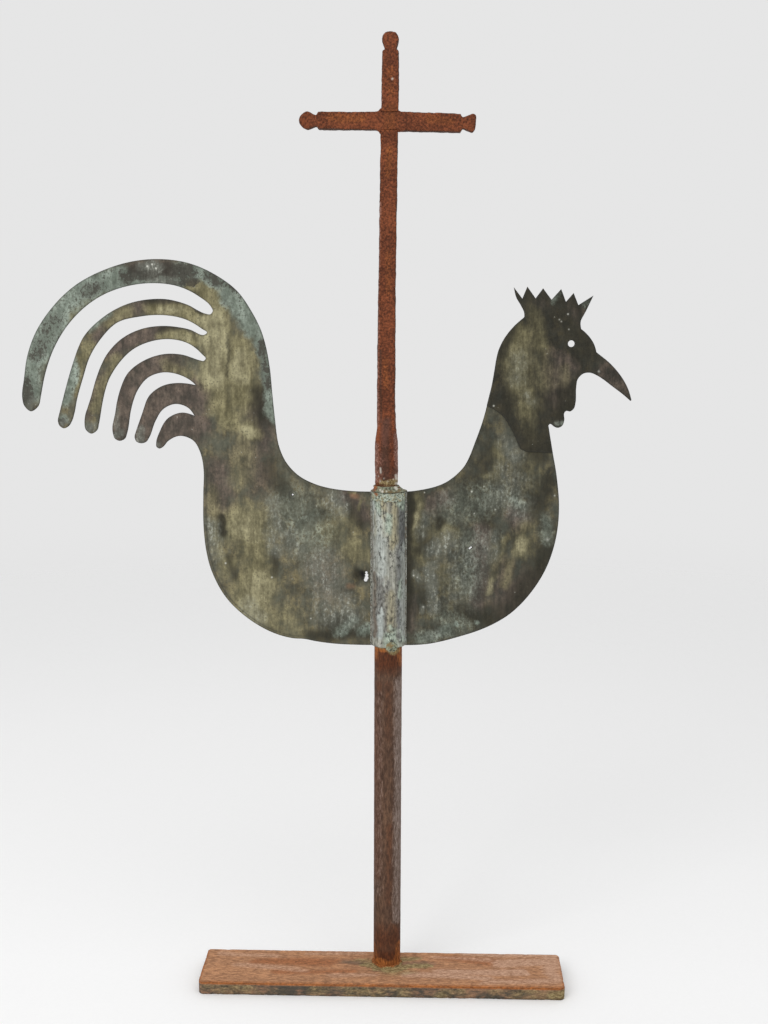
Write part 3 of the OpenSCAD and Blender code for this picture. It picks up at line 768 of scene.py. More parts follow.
# The patina's strokes: strength, half width and the corners of the path, in millimetres on the
# front view
TAIL_PATINA = {
    "verdigris": [
        (0.9, 14, (-384, 655), (-381, 672)), (1.2, 14, (-377, 690), (-366, 712), (-352, 732)),
        (0.8, 11, (-345, 742), (-328, 755)), (1.2, 11, (-322, 761), (-300, 771), (-282, 777)),
        (0.95, 8, (-272, 772), (-240, 774), (-222, 772)), (1, 9, (-222, 786), (-195, 779), (-176, 766)),
        (1.2, 10, (-170, 752), (-152, 740), (-141, 722)),
        (1.1, 6, (-138, 716), (-131, 690), (-127, 655), (-124.5, 630)),
        (1.2, 8, (-337, 683), (-341, 665), (-346, 648)), (0.8, 6, (-318, 727), (-296, 742)),
        (0.8, 6, (-349, 625)), (0.7, 6, (-30, 394), (-21, 400)), (0.6, 8, (-52, 396), (-40, 406)),
        (0.4, 30, (-100, 530), (-80, 500)),
    ],
    "ochre": [
        (0.9, 6, (-357, 706), (-341, 728), (-318, 748), (-290, 764)),
        (1.1, 13, (-207, 764), (-190, 752), (-180, 738)), (1.2, 17, (-186, 735), (-180, 705), (-180, 668)),
        (1.1, 16, (-160, 700), (-156, 675), (-160, 645)), (1, 14, (-178, 650), (-170, 625)),
        (1.1, 8, (-250, 741), (-222, 740), (-203, 731)), (0.8, 7, (-296, 728), (-275, 737)),
        (0.9, 7, (-318, 703), (-328, 685), (-334, 660)), (1, 6, (-240, 713), (-218, 713), (-204, 706)),
        (0.75, 6, (-290, 690), (-302, 668), (-312, 638)), (0.7, 8, (-232, 683), (-214, 676)),
        (1, 11, (-149, 617), (-146, 612)), (1, 21, (-160, 514), (-148, 508)),
        (0.9, 17, (-148, 492), (-142, 462)), (1.1, 21, (-142, 448), (-148, 425)),
        (0.9, 7, (-176, 474), (-168, 470)), (0.75, 14, (-40, 487), (-32, 482)),
        (0.6, 16, (-48, 516), (-60, 505)), (0.55, 12, (-157, 560), (-156, 600)),
        (0.6, 8, (-188, 545), (-184, 500), (-178, 460)), (0.6, 22, (-130, 410), (-110, 400)),
        (0.9, 1.5, (-27.6, 538), (-29.4, 527)), (0.9, 2.5, (-41, 547), (-35, 545.5)),
    ],
    "brass": [
        (1.1, 12, (-187, 725), (-184, 700), (-186, 672)), (0.9, 8, (-158, 690), (-157, 670)),
        (1, 7, (-149, 616), (-146, 612)), (0.8, 13, (-158, 512), (-148, 508)),
        (0.9, 13, (-139, 446), (-144, 432)), (0.8, 7, (-148, 420), (-140, 410)),
        (0.8, 4, (-240, 741), (-222, 740)), (0.6, 4, (-225, 712), (-212, 710)), (0.7, 3, (-175, 472)),
    ],
    "umber": [
        (1.1, 11, (-283, 779), (-262, 781), (-236, 786)), (0.9, 7, (-262, 745), (-232, 748), (-205, 741)),
        (0.95, 8, (-306, 716), (-288, 729), (-270, 738)), (1.1, 10, (-292, 700), (-272, 712), (-245, 718)),
        (0.8, 8, (-322, 632), (-312, 655), (-302, 675)),
        (1.4, 16, (-285, 612), (-280, 645), (-262, 672), (-235, 684)),
        (1.4, 16, (-265, 612), (-250, 640), (-225, 655), (-206, 650)),
        (1.4, 16, (-243, 600), (-225, 620), (-207, 618)), (1, 14, (-141, 640), (-133, 600)),
        (0.9, 14, (-184, 570), (-180, 535)), (0.7, 18, (-150, 590), (-140, 560)),
        (1, 10, (-44, 542), (-26, 524)), (0.5, 20, (-72, 470), (-60, 440)),
    ],
    "dark": [
        (0.5, 8, (-274, 780), (-252, 783), (-232, 785)), (0.8, 7, (-378, 700), (-384, 664)),
        (0.8, 6, (-350, 738), (-338, 748)), (0.7, 8, (-205, 783), (-188, 775)),
        (0.8, 7, (-250, 752), (-225, 756), (-204, 750)), (0.8, 4, (-244, 721), (-214, 723)),
        # painted shade: the strokes at (-181, 523), (-122, 478) and (-31, 459) darken the dents at (-176,
        # 511) and (-121, 462) and the torn hole at (-31, 457)
        (1.3, 4.5, (-181, 523), (-177, 508)), (0.6, 5, (-171, 478), (-168, 456)),
        (0.7, 5, (-122, 478), (-121, 460)), (0.7, 2, (-172, 712), (-169, 690), (-170, 672)),
        (0.6, 9, (-386, 668), (-386, 645)), (1.1, 6, (-31, 459)),
        (0.9, 9, (-84, 391), (-55, 392), (-24, 394)), (0.8, 10, (-66, 404), (-36, 408)),
        (0.9, 10, (-141, 655), (-134, 630)), (0.6, 12, (-128, 570), (-112, 548)),
        (0.8, 2, (-196, 735), (-204, 740)), (0.7, 8, (-40, 530), (-30, 515)),
        (0.6, 10, (-86, 520), (-66, 524)),
    ],
    "frost": [
        (0.9, 5, (-258, 786), (-244, 788)), (0.7, 6, (-252, 772), (-230, 773)),
        (0.6, 8, (-123, 536), (-125, 500), (-121, 482)), (0.65, 18, (-72, 468), (-66, 440), (-62, 420)),
        (0.75, 12, (-45, 430), (-40, 410)), (0.6, 10, (-106, 500), (-100, 488)),
        (0.85, 9, (-58, 540), (-50, 530)), (0.7, 9, (-190, 512), (-186, 480)),
        (0.6, 8, (-152, 424), (-140, 408)), (0.75, 4, (-384, 637), (-380, 645)),
        (0.75, 4, (-351, 620), (-346, 622)), (1, 5, (-321, 612), (-316, 618)),
        (0.9, 4, (-290, 605), (-287, 610)), (0.9, 4, (-266, 603), (-264, 612)), (0.9, 3, (-246, 597)),
        (0.8, 3, (-291, 640), (-292, 615)),
    ],
    "flake": [
        (0.76, 9, (-276, 778), (-262, 781), (-234, 786), (-210, 783)), (0.66, 8, (-240, 774), (-206, 770)),
        (0.62, 9, (-385, 636), (-387, 664)), (0.68, 7, (-352, 622)), (0.68, 7, (-320, 614)),
        (0.66, 6, (-291, 606)), (0.58, 8, (-192, 778), (-166, 760)), (0.58, 7, (-134, 704), (-129, 664)),
        (0.5, 10, (-376, 690), (-354, 730)), (0.5, 8, (-300, 768), (-320, 758)),
    ],
    # painted shade: near black in the torn hole at (-31, 457)
    "hole_shade": [(1, 2.3, (-28.2, 460.6), (-27.7, 457.6)), (0.9, 1.5, (-28.4, 454.6))],
    "copper": [(0.8, 2.5, (-39, 545), (-34, 544)), (0.6, 2.6, (-43, 446.5), (-39, 446))],
    "speck": [
        (1, 1, (-254, 786)), (1, 0.8, (-249, 788)), (0.9, 0.8, (-245, 784)), (0.8, 0.8, (-176, 470)),
        (0.8, 0.7, (-126, 455)), (0.6, 0.7, (-84, 410)),
    ],
}
BREAST_PATINA = {
    "ochre": [
        (0.9, 7, (29, 540), (28, 520), (29, 497)), (0.9, 7, (57, 511), (70, 506)),
        (0.6, 8, (46, 508), (50, 503)), (0.6, 8, (30, 486), (34, 474)),
        (0.75, 9, (147, 512), (144, 495), (140, 484)), (0.6, 6, (122, 496), (118, 475), (112, 457)),
        (0.6, 6, (130, 476), (127, 458), (126, 446)), (0.65, 8, (116, 598), (114, 582), (112, 568)),
        (0.9, 4.5, (104, 569)), (0.45, 12, (152, 588), (150, 570), (148, 556)),
        (0.4, 10, (60, 458), (68, 446)),
    ],
    "brass": [
        (0.7, 2.5, (29, 536), (28, 515)), (0.7, 4, (61, 510), (67, 508)), (0.6, 6, (144, 500), (138, 484)),
        (0.5, 3, (112, 454), (111, 440)), (0.6, 3, (104, 569)),
    ],
    "verdigris": [
        (0.55, 8, (35, 388), (52, 392), (66, 398)), (0.35, 12, (60, 412), (70, 405), (82, 400)),
        (0.5, 8, (133, 541), (138, 536)), (0.45, 8, (168, 520), (170, 500)), (1.1, 3, (95.7, 408.5)),
        (0.9, 2.2, (75, 401)), (0.35, 22, (70, 532), (110, 545)), (0.35, 18, (88, 500), (86, 450)),
    ],
    "frost": [
        (0.75, 9, (66, 500), (58, 492), (48, 485)), (0.5, 8, (40, 522), (36, 507)),
        (0.85, 6, (46, 465), (48, 446), (49, 424)), (0.8, 4, (28, 459), (34, 456)),
        (0.8, 3, (38, 424), (38, 418)), (0.6, 10, (110, 498), (108, 482)),
        (0.5, 16, (118, 548), (136, 534)), (0.7, 10, (126, 602), (134, 592)),
        (0.4, 22, (84, 480), (80, 440)), (0.5, 6, (52, 395), (42, 390)), (0.4, 14, (120, 570), (140, 560)),
    ],
    "dark": [
        # the stroke at x = 21 is the sleeve's painted shadow on the sheet to its right; the one at (54, 516)
        # is painted shade in the dent at (52, 517)
        (1, 5, (21, 545), (21, 500), (21, 440), (21, 400)), (1.1, 6, (54, 516)),
        (0.9, 14, (170, 486), (158, 455), (142, 432)), (0.8, 12, (132, 420), (112, 414), (84, 416)),
        (0.5, 12, (96, 470), (98, 440)), (0.6, 10, (35, 440), (34, 425)), (0.6, 10, (92, 560), (104, 592)),
        (0.8, 6, (32, 487)), (0.6, 9, (36, 500), (40, 494)), (0.7, 10, (154, 530), (166, 560)),
        (0.6, 10, (98, 540), (104, 520)), (0.8, 8, (150, 600), (162, 592)),
    ],
    "umber": [
        (0.9, 9, (97, 510), (99, 470), (98, 430)), (0.9, 10, (136, 521), (142, 518)),
        (0.8, 16, (150, 450), (128, 430)), (0.8, 10, (60, 540), (46, 535)), (0.7, 8, (25, 430), (25, 400)),
        (0.7, 12, (124, 470), (122, 440)),
    ],
    "speck": [
        (0.8, 0.8, (88.3, 550.3)), (0.6, 0.6, (91.5, 526.5)), (0.6, 0.6, (113.8, 531)),
        (0.5, 0.8, (176.6, 546.6)), (0.4, 1.2, (170, 499.1)), (0.7, 0.6, (37.8, 424)),
        (0.8, 0.7, (27, 458.5)), (0.6, 0.6, (31, 456.5)), (0.6, 0.6, (38, 549)),
    ],
}
HEAD_PATINA = {
    "ochre": [
        (0.9, 14, (137, 712), (133, 690), (137, 668)), (0.75, 13, (142, 658), (146, 640)),
        (0.65, 8, (153, 735), (156, 720), (158, 704)), (0.5, 12, (160, 690), (161, 665)),
        (0.4, 7, (180, 682), (180, 668)), (0.4, 9, (147, 628), (150, 612)),
    ],
    "brass": [(0.25, 10, (134, 700), (134, 684))],
    "umber": [
        (0.6, 12, (174, 690), (174, 650)), (0.6, 8, (186, 690), (190, 683)),
        (0.55, 12, (228, 680), (244, 662)), (0.45, 10, (190, 748), (200, 738)), (0.45, 10, (160, 752)),
    ],
    "verdigris": [
        (0.45, 4, (173, 753), (176, 758)), (0.5, 3, (178, 624), (184, 624)),
        (0.4, 5, (203, 748), (208, 752)),
    ],
    "frost": [
        (0.6, 2.5, (177, 625), (184, 626)), (0.5, 9, (134, 690), (135, 672)),
        (0.35, 6, (142, 655), (150, 646)),
    ],
    "dark": [
        (0.8, 8, (124, 655), (122, 632), (130, 616)), (0.9, 12, (184, 654), (186, 632)),
        (0.7, 16, (206, 700), (196, 726)), (0.5, 14, (140, 745), (176, 742)),
        (0.8, 14, (150, 604), (170, 600)), (0.5, 12, (166, 650), (164, 626)),
        (0.8, 5, (120, 700), (128, 722)), (0.85, 9, (132, 758), (165, 756), (205, 750)),
    ],
    "speck": [
        (0.6, 0.8, (186.3, 738.2)), (0.5, 0.6, (177.5, 732.5)), (0.5, 0.6, (179.6, 730.5)),
        (0.5, 0.6, (187.6, 722.4)), (0.7, 0.8, (110.3, 642)), (0.4, 1, (219.9, 678.8)),
    ],
}


def copper_skins():
    """Front and back skins of the tail, the breast and the head"""
    tail = patina("tail_patina", (0.138, 0.129, 0.089), (0.070, 0.065, 0.044), 1.0, 1)
    breast = patina("breast_patina", (0.088, 0.085, 0.061), (0.042, 0.040, 0.028), 0.64, 5)
    head = patina("head_patina", (0.046, 0.043, 0.031), (0.025, 0.023, 0.016), 0.68, 9)
    kinds = [
        ("tail_sheet", TAIL_PATINA, tail, "tail_copper"),
        ("breast_sheet", BREAST_PATINA, breast, "breast_copper"),
        ("head_plate", HEAD_PATINA, head, "head_copper"),
    ]
    for kind, strokes, material, slot in kinds:
        for side, word in ((FRONT, "_front"), (BACK, "_back")):
            node = kind + word
            new_piece(node + "_skin", skin_mesh(node, side, strokes), "vane", material, node)


# ---- Sleeve ----
def arc(radius, start, end, count):
    """Points (x, y) on an arc about the turning axis"""
    return [(radius * math.cos(a), radius * math.sin(a)) for a in np.linspace(start, end, count)]


def channel_section(side):
    """The half-round channel's section, round its outside and back along its inside"""
    wall = 1.2 * MM
    flange_t = 1.0 * MM
    flange_round = 0.4 * MM
    base = skin_t
    outer_end = math.asin((base + flange_round) / sleeve_r)
    inner_end = math.asin(base / (sleeve_r - wall))
    outer = arc(sleeve_r, outer_end, math.pi - outer_end, 56)
    inner = arc(sleeve_r - wall, math.pi - inner_end, inner_end, 40)
    right = [
        (sleeve_side, base),
        (sleeve_side, base + flange_t * 0.8),
        (sleeve_side - flange_round, base + flange_t),
    ]
    left = [(-x, y) for x, y in reversed(right)]
    return [(x, side * y) for x, y in right + outer + left + inner]


SLEEVE_PATINA = {
    "slate": [(1.2, 4.5, (13.5, 536), (13.5, 492)), (0.8, 3.5, (11.5, 485), (11.5, 400))],
    "violet": [
        (0.5, 4, (-12, 500), (-12, 470)), (1.1, 4, (-9, 458), (-9, 430), (-11, 396)),
        (0.9, 5, (-2, 450), (-2, 400)), (0.8, 4, (5, 430), (7, 395)),
    ],
    "ochre": [
        (0.9, 4, (-6, 540), (-5, 520), (-4, 505)), (0.9, 4, (6, 540), (6, 510), (5, 495)),
        (0.7, 5, (3, 440), (3, 400)), (0.6, 3, (-14, 525), (-14, 505)),
    ],
    "verdigris": [
        (0.9, 3.5, (0, 525), (0, 508)), (1.2, 4, (-13, 545), (-12, 533)), (1.1, 4, (10, 547), (14, 538)),
        (0.7, 3, (13, 450), (13, 435)), (1, 7, (1, 394), (5, 384)), (0.9, 3, (15, 395), (16, 385)),
    ],
    "frost": [
        (1.3, 2.5, (-8, 416), (-9, 392)), (0.7, 3, (15.5, 488), (15.8, 440), (15.8, 390)),
        (0.8, 6, (-9, 525), (-8, 495), (-6, 465)), (1.1, 1.6, (-16.8, 540), (-16.8, 390)),
        (0.9, 1.2, (16.6, 492), (16.6, 388)),
    ],
    "umber": [(0.9, 2.2, (-14.8, 460), (-15, 425), (-14.5, 395)), (0.7, 2, (-17.8, 520), (-17.8, 395))],
    "copper": [(0.6, 1.8, (-14, 548), (-12.5, 546))],
}


# Where the lip runs and where the flap ends, in millimetres
lip_x = -16.6
flap_top = 491


def sleeve_channels():
    """Both channels: crumpled, with a lip down the left and a lifted flap low on the right"""
    material = sleeve_patina()
    heights = np.linspace(sleeve_low, sleeve_top, 96)
    for side, node in ((FRONT, "sleeve_front"), (BACK, "sleeve_back")):
        mesh = swept_mesh(node + "_channel", channel_section(side), heights)
        points = coordinates(mesh)
        x, z = points[:, 0] / MM, points[:, 2] / MM
        outer = smooth_step(off_axis(points) / MM, 17.0, 17.35)
        flap = smooth_step(x, 9.3, 10.6) * smooth_step(z, flap_top + 1, flap_top - 1)
        lip = np.exp(-((x - lip_x) / 0.7) ** 2)
        lumps = noise_at(points, 7 * MM, 11 + side, 3, (1, 1, 2.5))
        crease = noise_at(points, 40 * MM, 14 + side, 2)
        push_out(points, outer * (0.55 * flap + 0.35 * lip + 0.22 * lumps + 0.5 * np.abs(crease)) * MM)
        set_coordinates(mesh, points)
        across = x + 1.6 * noise_at(points, 12 * MM, 16, 3)
        up = z + 9 * noise_at(points, 9 * MM, 17, 3)
        for field in ("slate", "violet", "ochre", "verdigris", "frost", "umber", "copper"):
            set_field(mesh, field, painted(SLEEVE_PATINA[field], across, up))
        new_piece(node + "_channel", mesh, "vane", material, node)


def lumpy(node, name, voxel, lump, size, seed):
    """A small cast or run piece from its CAD node, with lumps of that depth and size"""
    mesh = remeshed(name, node_copy(node), voxel, 2)
    points = coordinates(mesh)
    points += normals(mesh) * (lump * noise_at(points, size, seed, 3))[:, None]
    set_coordinates(mesh, points)
    return mesh


def keep_off_axis(mesh, least):
    """Moves points out so that none is nearer the turning axis than least"""
    points = coordinates(mesh)
    grow = np.maximum(1, least / np.maximum(off_axis(points), 1e-6))
    points[:, :2] *= grow[:, None]
    set_coordinates(mesh, points)


def keep_below(mesh, height):
    """Flattens a mesh's top at a height"""
    points = coordinates(mesh)
    points[:, 2] = np.minimum(points[:, 2], height)
    set_coordinates(mesh, points)


def solder_fields(mesh, stains=(), chips=()):
    """Paints orange stains and pale chips on solder"""
    points = coordinates(mesh)
    x, z = points[:, 0] / MM, points[:, 2] / MM
    set_field(mesh, "orange", painted(stains, x, z))
    set_field(mesh, "speck", painted(chips, x, z))


def solder_pieces():
    """The beads along the sleeve, the crown at its top and the drip at its foot"""
    seam = solder_crust("solder_seam", (0.30, 0.30, 0.26), (0.12, 0.13, 0.11), (0.10, 0.075, 0.05), 31)
    crust = solder_crust("solder_crust", (0.42, 0.46, 0.38), (0.17, 0.21, 0.15), (0.25, 0.18, 0.075), 34)
    run_lead = solder_crust("drip_crust", (0.27, 0.29, 0.20), (0.085, 0.100, 0.066), (0.22, 0.14, 0.05), 38)
    for node, seed in (("sleeve_solder_front", 51), ("sleeve_solder_back", 52)):
        mesh = lumpy(node, node + "_bead", 0.5 * MM, 0.35 * MM, 5 * MM, seed)
        solder_fields(mesh)
        new_piece(node + "_bead", mesh, "vane", seam, node)

    mesh = lumpy("crown_solder", "crown_crust", 0.5 * MM, 0.7 * MM, 3.5 * MM, 53)
    keep_below(mesh, collar_low - 0.25 * MM)
    solder_fields(mesh, [(0.8, 1.6, (-14, 549), (-12.5, 548))])
    new_piece("crown_crust", mesh, "vane", crust, "crown_solder")

    mesh = lumpy("drip_solder", "drip_lump", 0.4 * MM, 0.6 * MM, 4 * MM, 54)
    keep_off_axis(mesh, post_r + post_gap)
    solder_fields(mesh, [(1.2, 2, (-2, 378), (2, 374)), (1.0, 2, (8, 373), (12, 376))])
    new_piece("drip_lump", mesh, "vane", run_lead, "drip_solder")


COLLAR_CHIPS = [
    (0.9, 0.9, (-9, 553)), (0.9, 1.1, (-6.5, 551.6)), (0.8, 1.1, (7, 555.5), (8.5, 554)),
    (0.7, 0.7, (-2, 552)),
]


def storm_collar():
    """The collar of run solder that keeps rain out of the sleeve"""
    lead = solder_crust("collar_crust", (0.24, 0.26, 0.18), (0.066, 0.066, 0.040), (0.15, 0.095, 0.036), 37)
    mesh = collar_mesh()
    solder_fields(mesh, [(1.0, 2.0, (-16, 552.5), (-14, 554.5))], COLLAR_CHIPS)
    new_piece("collar_cone", mesh, "stand", lead, "storm_collar")


def collar_mesh():
    """The collar: a hollow-sided cone of run solder, lumpy outside and flat underneath"""
    low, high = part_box("storm_collar")
    spread = high.x - shank_r - 0.7 * MM
    rise = high.z - low.z
    flare = [(high.x - spread * t ** 0.45, low.z + rise * t) for t in np.linspace(0, 1, 16)]
    inner = [(shank_r - 0.4 * MM, z) for z in np.linspace(high.z, low.z, 6)]
    under = [(r, low.z) for r in np.linspace(shank_r, high.x, 6)[1:-1]]
    mesh = lathed_mesh("collar_cone", flare + inner + under, 120)
    points = coordinates(mesh)
    outer = smooth_step(points[:, 2], low.z, low.z + 1 * MM) * smooth_step(off_axis(points) / MM, 12.6, 13.8)
    lumps = 0.8 * noise_at(points, 5 * MM, 55, 3) + 0.5 * noise_at(points, 2.2 * MM, 56, 2)
    points += normals(mesh) * (outer * lumps * MM)[:, None]
    points[:, 0] += smooth_step(points[:, 2], low.z, high.z) * swell_x
    points[:, 2] = np.maximum(points[:, 2], low.z)
    set_coordinates(mesh, points)
    return mesh


# ---- Forged cross ----
def forged(mesh, seed):
    """Hammers and pits a forging's surface"""
    points = coordinates(mesh)
    hammer = noise_at(points, 16 * MM, seed, 2)
    scale = noise_at(points, 4.5 * MM, seed + 1, 3)
    pits = np.clip(noise_at(points, 2.6 * MM, seed + 2, 2) - 0.25, 0, None)
    depth = (0.45 * hammer + 0.32 * scale - 0.75 * pits) * MM
    points += normals(mesh) * depth[:, None]
    set_coordinates(mesh, points)
    return points


def iron_fields(mesh, points, strokes, drift):
    """Paints a piece of iron's fields, drifted sideways by that many millimetres"""
    x, z = points[:, 0] / MM, points[:, 2] / MM
    across = x + drift * noise_at(points, 16 * MM, 66, 3, (1, 1, 2))
    up = z + 3 * drift * noise_at(points, 10 * MM, 67, 3)
    for field in ("orange", "glow", "grey", "soot_and_shade", "crust"):
        set_field(mesh, field, painted(strokes.get(field, []), across, up))
    set_field(mesh, "speck", painted(strokes.get("speck", []), x, z))


# Height of the middle of the crossing, in millimetres
crossing_z = 933.5
CROSS_RUST = {
    # grey: painted highlights down the upright's left edge and on both sides of the swell
    "grey": [
        (0.6, 1.8, (-12.4, 620), (-12.4, 760), (-11, 850)), (0.5, 1.4, (-9, 950), (-9, 1000)),
        (0.6, 2.5, (-13, 600), (-13, 562)), (0.7, 2.2, (7.5, 612), (8.5, 560)),
        (0.4, 4, (-8, 590), (-9, 562)),
    ],
    "orange": [(0.55, 4, (-14, 556), (-12, 562)), (0.35, 8, (0, 930), (0, 945))],
    "glow": [
        (0.35, 6, (-60, 937), (-30, 936)), (0.3, 5, (40, 935), (62, 934)), (0.35, 4, (-1, 905), (-2, 880)),
        (0.3, 4, (-2, 800), (-1, 760)), (0.3, 4, (-4, 690), (-3, 660)), (0.3, 4, (1, 960), (1, 985)),
    ],
    # Dark strokes: a band down the swell's middle, a thin line by the upright's left edge and the swell's
    # foot; painted shade on the bars' sides is added to this field later
    "soot_and_shade": [
        (0.8, 5, (-3, 625), (-4, 600), (-3, 562)), (0.7, 4, (-8, 575), (0, 560), (6, 572)),
        (0.7, 1.3, (-8.8, 700), (-8.6, 625)), (0.5, 3, (3, 560), (6, 558)),
    ],
    "crust": [(0.75, 3, (-8, 560), (0, 559), (8, 561))],
    "speck": [
        (0.9, 0.9, (2, 975)), (0.6, 0.8, (-9, 562)), (0.5, 0.7, (-5, 565)), (0.6, 0.7, (5, 564)),
        (0.8, 1.1, (8, 564), (7.5, 568)), (0.5, 0.7, (-1, 562)), (0.5, 0.6, (-11, 567)),
        (0.7, 0.8, (-8.5, 571), (-8.8, 576)), (0.9, 1.3, (8, 559)),
    ],
}


def paint_side_shade(mesh):
    """Paints shade over the soot on a flat forging's sides and worn corners, but not where the bars cross"""
    soot_and_shade = mesh.attributes["soot_and_shade"].data
    values = np.empty(len(mesh.vertices), np.float32)
    soot_and_shade.foreach_get("value", values)
    points = coordinates(mesh)
    x, z = points[:, 0] / MM, points[:, 2] / MM
    crossing = smooth_step(np.abs(x), 15, 11) * smooth_step(np.abs(z - crossing_z), 22, 17)
    # painted shade: every face turned away from front and back is darkened
    side_shade = smooth_step(np.abs(normals(mesh)[:, 1]), 0.95, 0.5) * smooth_step(z, 600, 660)
    soot_and_shade.foreach_set("value", np.maximum(values, 0.85 * side_shade * (1 - crossing)).astype(np.float32))


def shank_rod(top):
    """The plain round shank inside the bushes and the tube, kept clear of the bushes"""
    radius = shank_r - shank_gap
    chamfer = 1 * MM
    core = 0.0001
    side = [(radius, z) for z in np.linspace(shank_low + chamfer, top, 30)]
    profile = [(core, shank_low), (radius - chamfer, shank_low), *side, (core, top)]
    return lathed_mesh("shank", profile, 64)


def forged_cross():
    """The upright with its shank, and the bar halved into it"""
    iron = rust("forged_rust", (0.060, 0.018, 0.008), (0.142, 0.042, 0.018), (0.240, 0.069, 0.027), 2.4, 61)
    cut = sleeve_top + 2 * MM
    upright = remeshed("cross_upright_forging", cut_off_below(node_copy("cross_upright"), cut), 0.9 * MM, 2)
    forged(upright, 62)
    bm = bmesh.new()
    bm.from_mesh(upright)
    bm.from_mesh(shank_rod(cut + 2.5 * MM))
    bm.to_mesh(upright)
    bm.free()
    iron_fields(upright, coordinates(upright), CROSS_RUST, 0.6)
    paint_side_shade(upright)
    new_piece("cross_upright_forging", upright, "stand", iron, "cross_upright")

    bar = remeshed("cross_bar_forging", node_copy("cross_bar"), 0.9 * MM, 2)
    iron_fields(bar, forged(bar, 62), CROSS_RUST, 0.6)
    paint_side_shade(bar)
    new_piece("cross_bar_forging", bar, "stand", iron, "cross_bar")


# ---- Post and plate ----
POST_RUST = {
    "orange": [
        (1.3, 15, (-15, 372), (15, 372)), (1.1, 16, (-15, 20), (15, 20)), (0.7, 16, (-10, 48), (10, 48)),
        (0.5, 5, (-11, 340), (-11, 120)), (0.4, 4, (0, 340), (1, 280)), (0.4, 4, (3, 180), (2, 90)),
    ],
    "glow": [
        (1.1, 2.6, (-15, 378.5), (15, 378.5)), (0.7, 3, (12, 376), (14, 362)),
        (0.6, 3, (-13, 374), (-14, 368)), (1.2, 3.4, (-16, 20), (16, 20)), (0.8, 3.5, (12, 24), (14, 40)),
        (0.5, 3, (-13, 26), (-14, 38)),
    ],
    # grey: a painted highlight down the post's right side and a fainter one down its left
    "grey": [(0.8, 4.5, (11, 345), (11.5, 240), (11, 70)), (0.3, 5, (-9, 330), (-9, 200), (-9, 100))],
    "crust": [(1.2, 3, (1, 379), (5, 376), (9, 379)), (0.7, 2, (-10, 381), (-6, 381))],
}


def post():
    """The tube post: pitted outside, plain inside and at its rim"""
    outside = [(post_r, z) for z in np.linspace(post_low, post_top, 230)]
    inside_wall = [(shank_r, z) for z in np.linspace(post_top, post_low, 12)]
    mesh = lathed_mesh("post_tube_iron", outside + inside_wall, 110)
    points = coordinates(mesh)
    outer = off_axis(points) > post_r - 0.5 * MM
    pits = 0.10 * noise_at(points, 14 * MM, 71, 2) + 0.12 * noise_at(points, 3 * MM, 72, 3)
    push_out(points, np.where(outer, np.clip(pits, -0.4, 0.05), 0) * MM)
    set_coordinates(mesh, points)
    iron_fields(mesh, points, POST_RUST, 0.9)
    brown = rust(
        "post_rust", (0.062, 0.032, 0.020), (0.104, 0.056, 0.034), (0.142, 0.076, 0.044), 2.6, 73,
        roughness=0.7, stretch=(1, 1, 3.5), orange_rust=(0.110, 0.031, 0.010))
    new_piece("post_tube_iron", mesh, "stand", brown, "post_tube")


WELD_RUST = {
    "glow": [(1.1, 1.6, (-17, 17.8), (17, 17.8))],
    "crust": [(0.9, 1, (-19, 15), (-6, 14.6)), (1.2, 1.5, (-4, 15), (19, 15))],
}


def foot():
    """A lumpy ring of weld round the post's foot, crusted with old flux and lichen"""
    leg = weld_r - post_r
    sunk = 0.4 * MM
    inner_r = post_r - 1.2 * MM
    turn = np.linspace(0, math.pi / 2, 18)
    across = post_r - 0.6 * MM + leg * 1.15 * np.cos(turn)
    up = post_low - sunk + leg * 1.05 * np.sin(turn)
    profile = [*zip(across, up), (inner_r, post_low + leg), (inner_r, post_low - sunk)]
    mesh = lathed_mesh("foot_weld_bead", profile, 150)
    points = coordinates(mesh)
    angle = np.arctan2(points[:, 1], points[:, 0])
    outside = smooth_step(off_axis(points) / MM, 14.4, 15.6)
    ripple = 0.15 * np.sin(angle * 26 + 3 * np.sin(angle * 3))
    lumps = 0.6 * noise_at(points, 5 * MM, 75, 3) + 0.4 * noise_at(points, 2 * MM, 76, 2)
    points += normals(mesh) * (outside * (ripple + lumps) * MM)[:, None]
    points[:, 2] = np.maximum(points[:, 2], post_low - 0.6 * MM)
    set_coordinates(mesh, points)
    iron_fields(mesh, points, WELD_RUST, 0.5)
    crusty = rust("weld_crust", (0.060, 0.034, 0.016), (0.125, 0.075, 0.034), (0.22, 0.115, 0.045), 2.4, 77)
    new_piece("foot_weld_bead", mesh, "stand", crusty, "foot_weld")


# Strokes on the plate's top, with (x, y) corners
PLATE_RUST = {
    "streaks": [
        (0.9, 6, (30, -32), (110, -36)), (1, 7, (60, -24), (150, -18)), (1, 8, (120, 0), (190, 6)),
        (0.9, 7, (90, 24), (185, 22)), (0.6, 5, (-190, 16), (-120, 12)), (0.6, 6, (-170, -14), (-90, -20)),
        (0.6, 4, (-90, 20), (-30, 22)), (0.95, 10, (186, -30), (190, 20)), (0.6, 5, (-60, -34), (-10, -32)),
        (0.7, 6, (110, -44), (190, -40)), (0.6, 5, (60, 10), (110, 8)),
    ],
    "red": [
        (0.8, 9, (-150, -4), (-60, -2)), (0.8, 8, (70, 10), (120, 2)), (0.7, 6, (-120, -26), (-30, -22)),
    ],
    "halo": [
        (1, 5, (-26, -7), (-17, -10), (-8, -18)), (1.3, 5, (0, -20), (10, -21), (16, -14)),
        (1.1, 5, (20, -12), (34, -9), (44, -8)), (0.9, 5, (18, 6), (32, 8)), (0.5, 8, (2, -28), (26, -26)),
        (0.6, 5, (-34, 2), (-18, 2)),
    ],
    "stain": [
        (0.7, 6, (-44, -3), (-20, -4)), (0.6, 5, (18, -4), (52, -2)), (0.5, 5, (-12, -20), (-2, -24)),
    ],
}


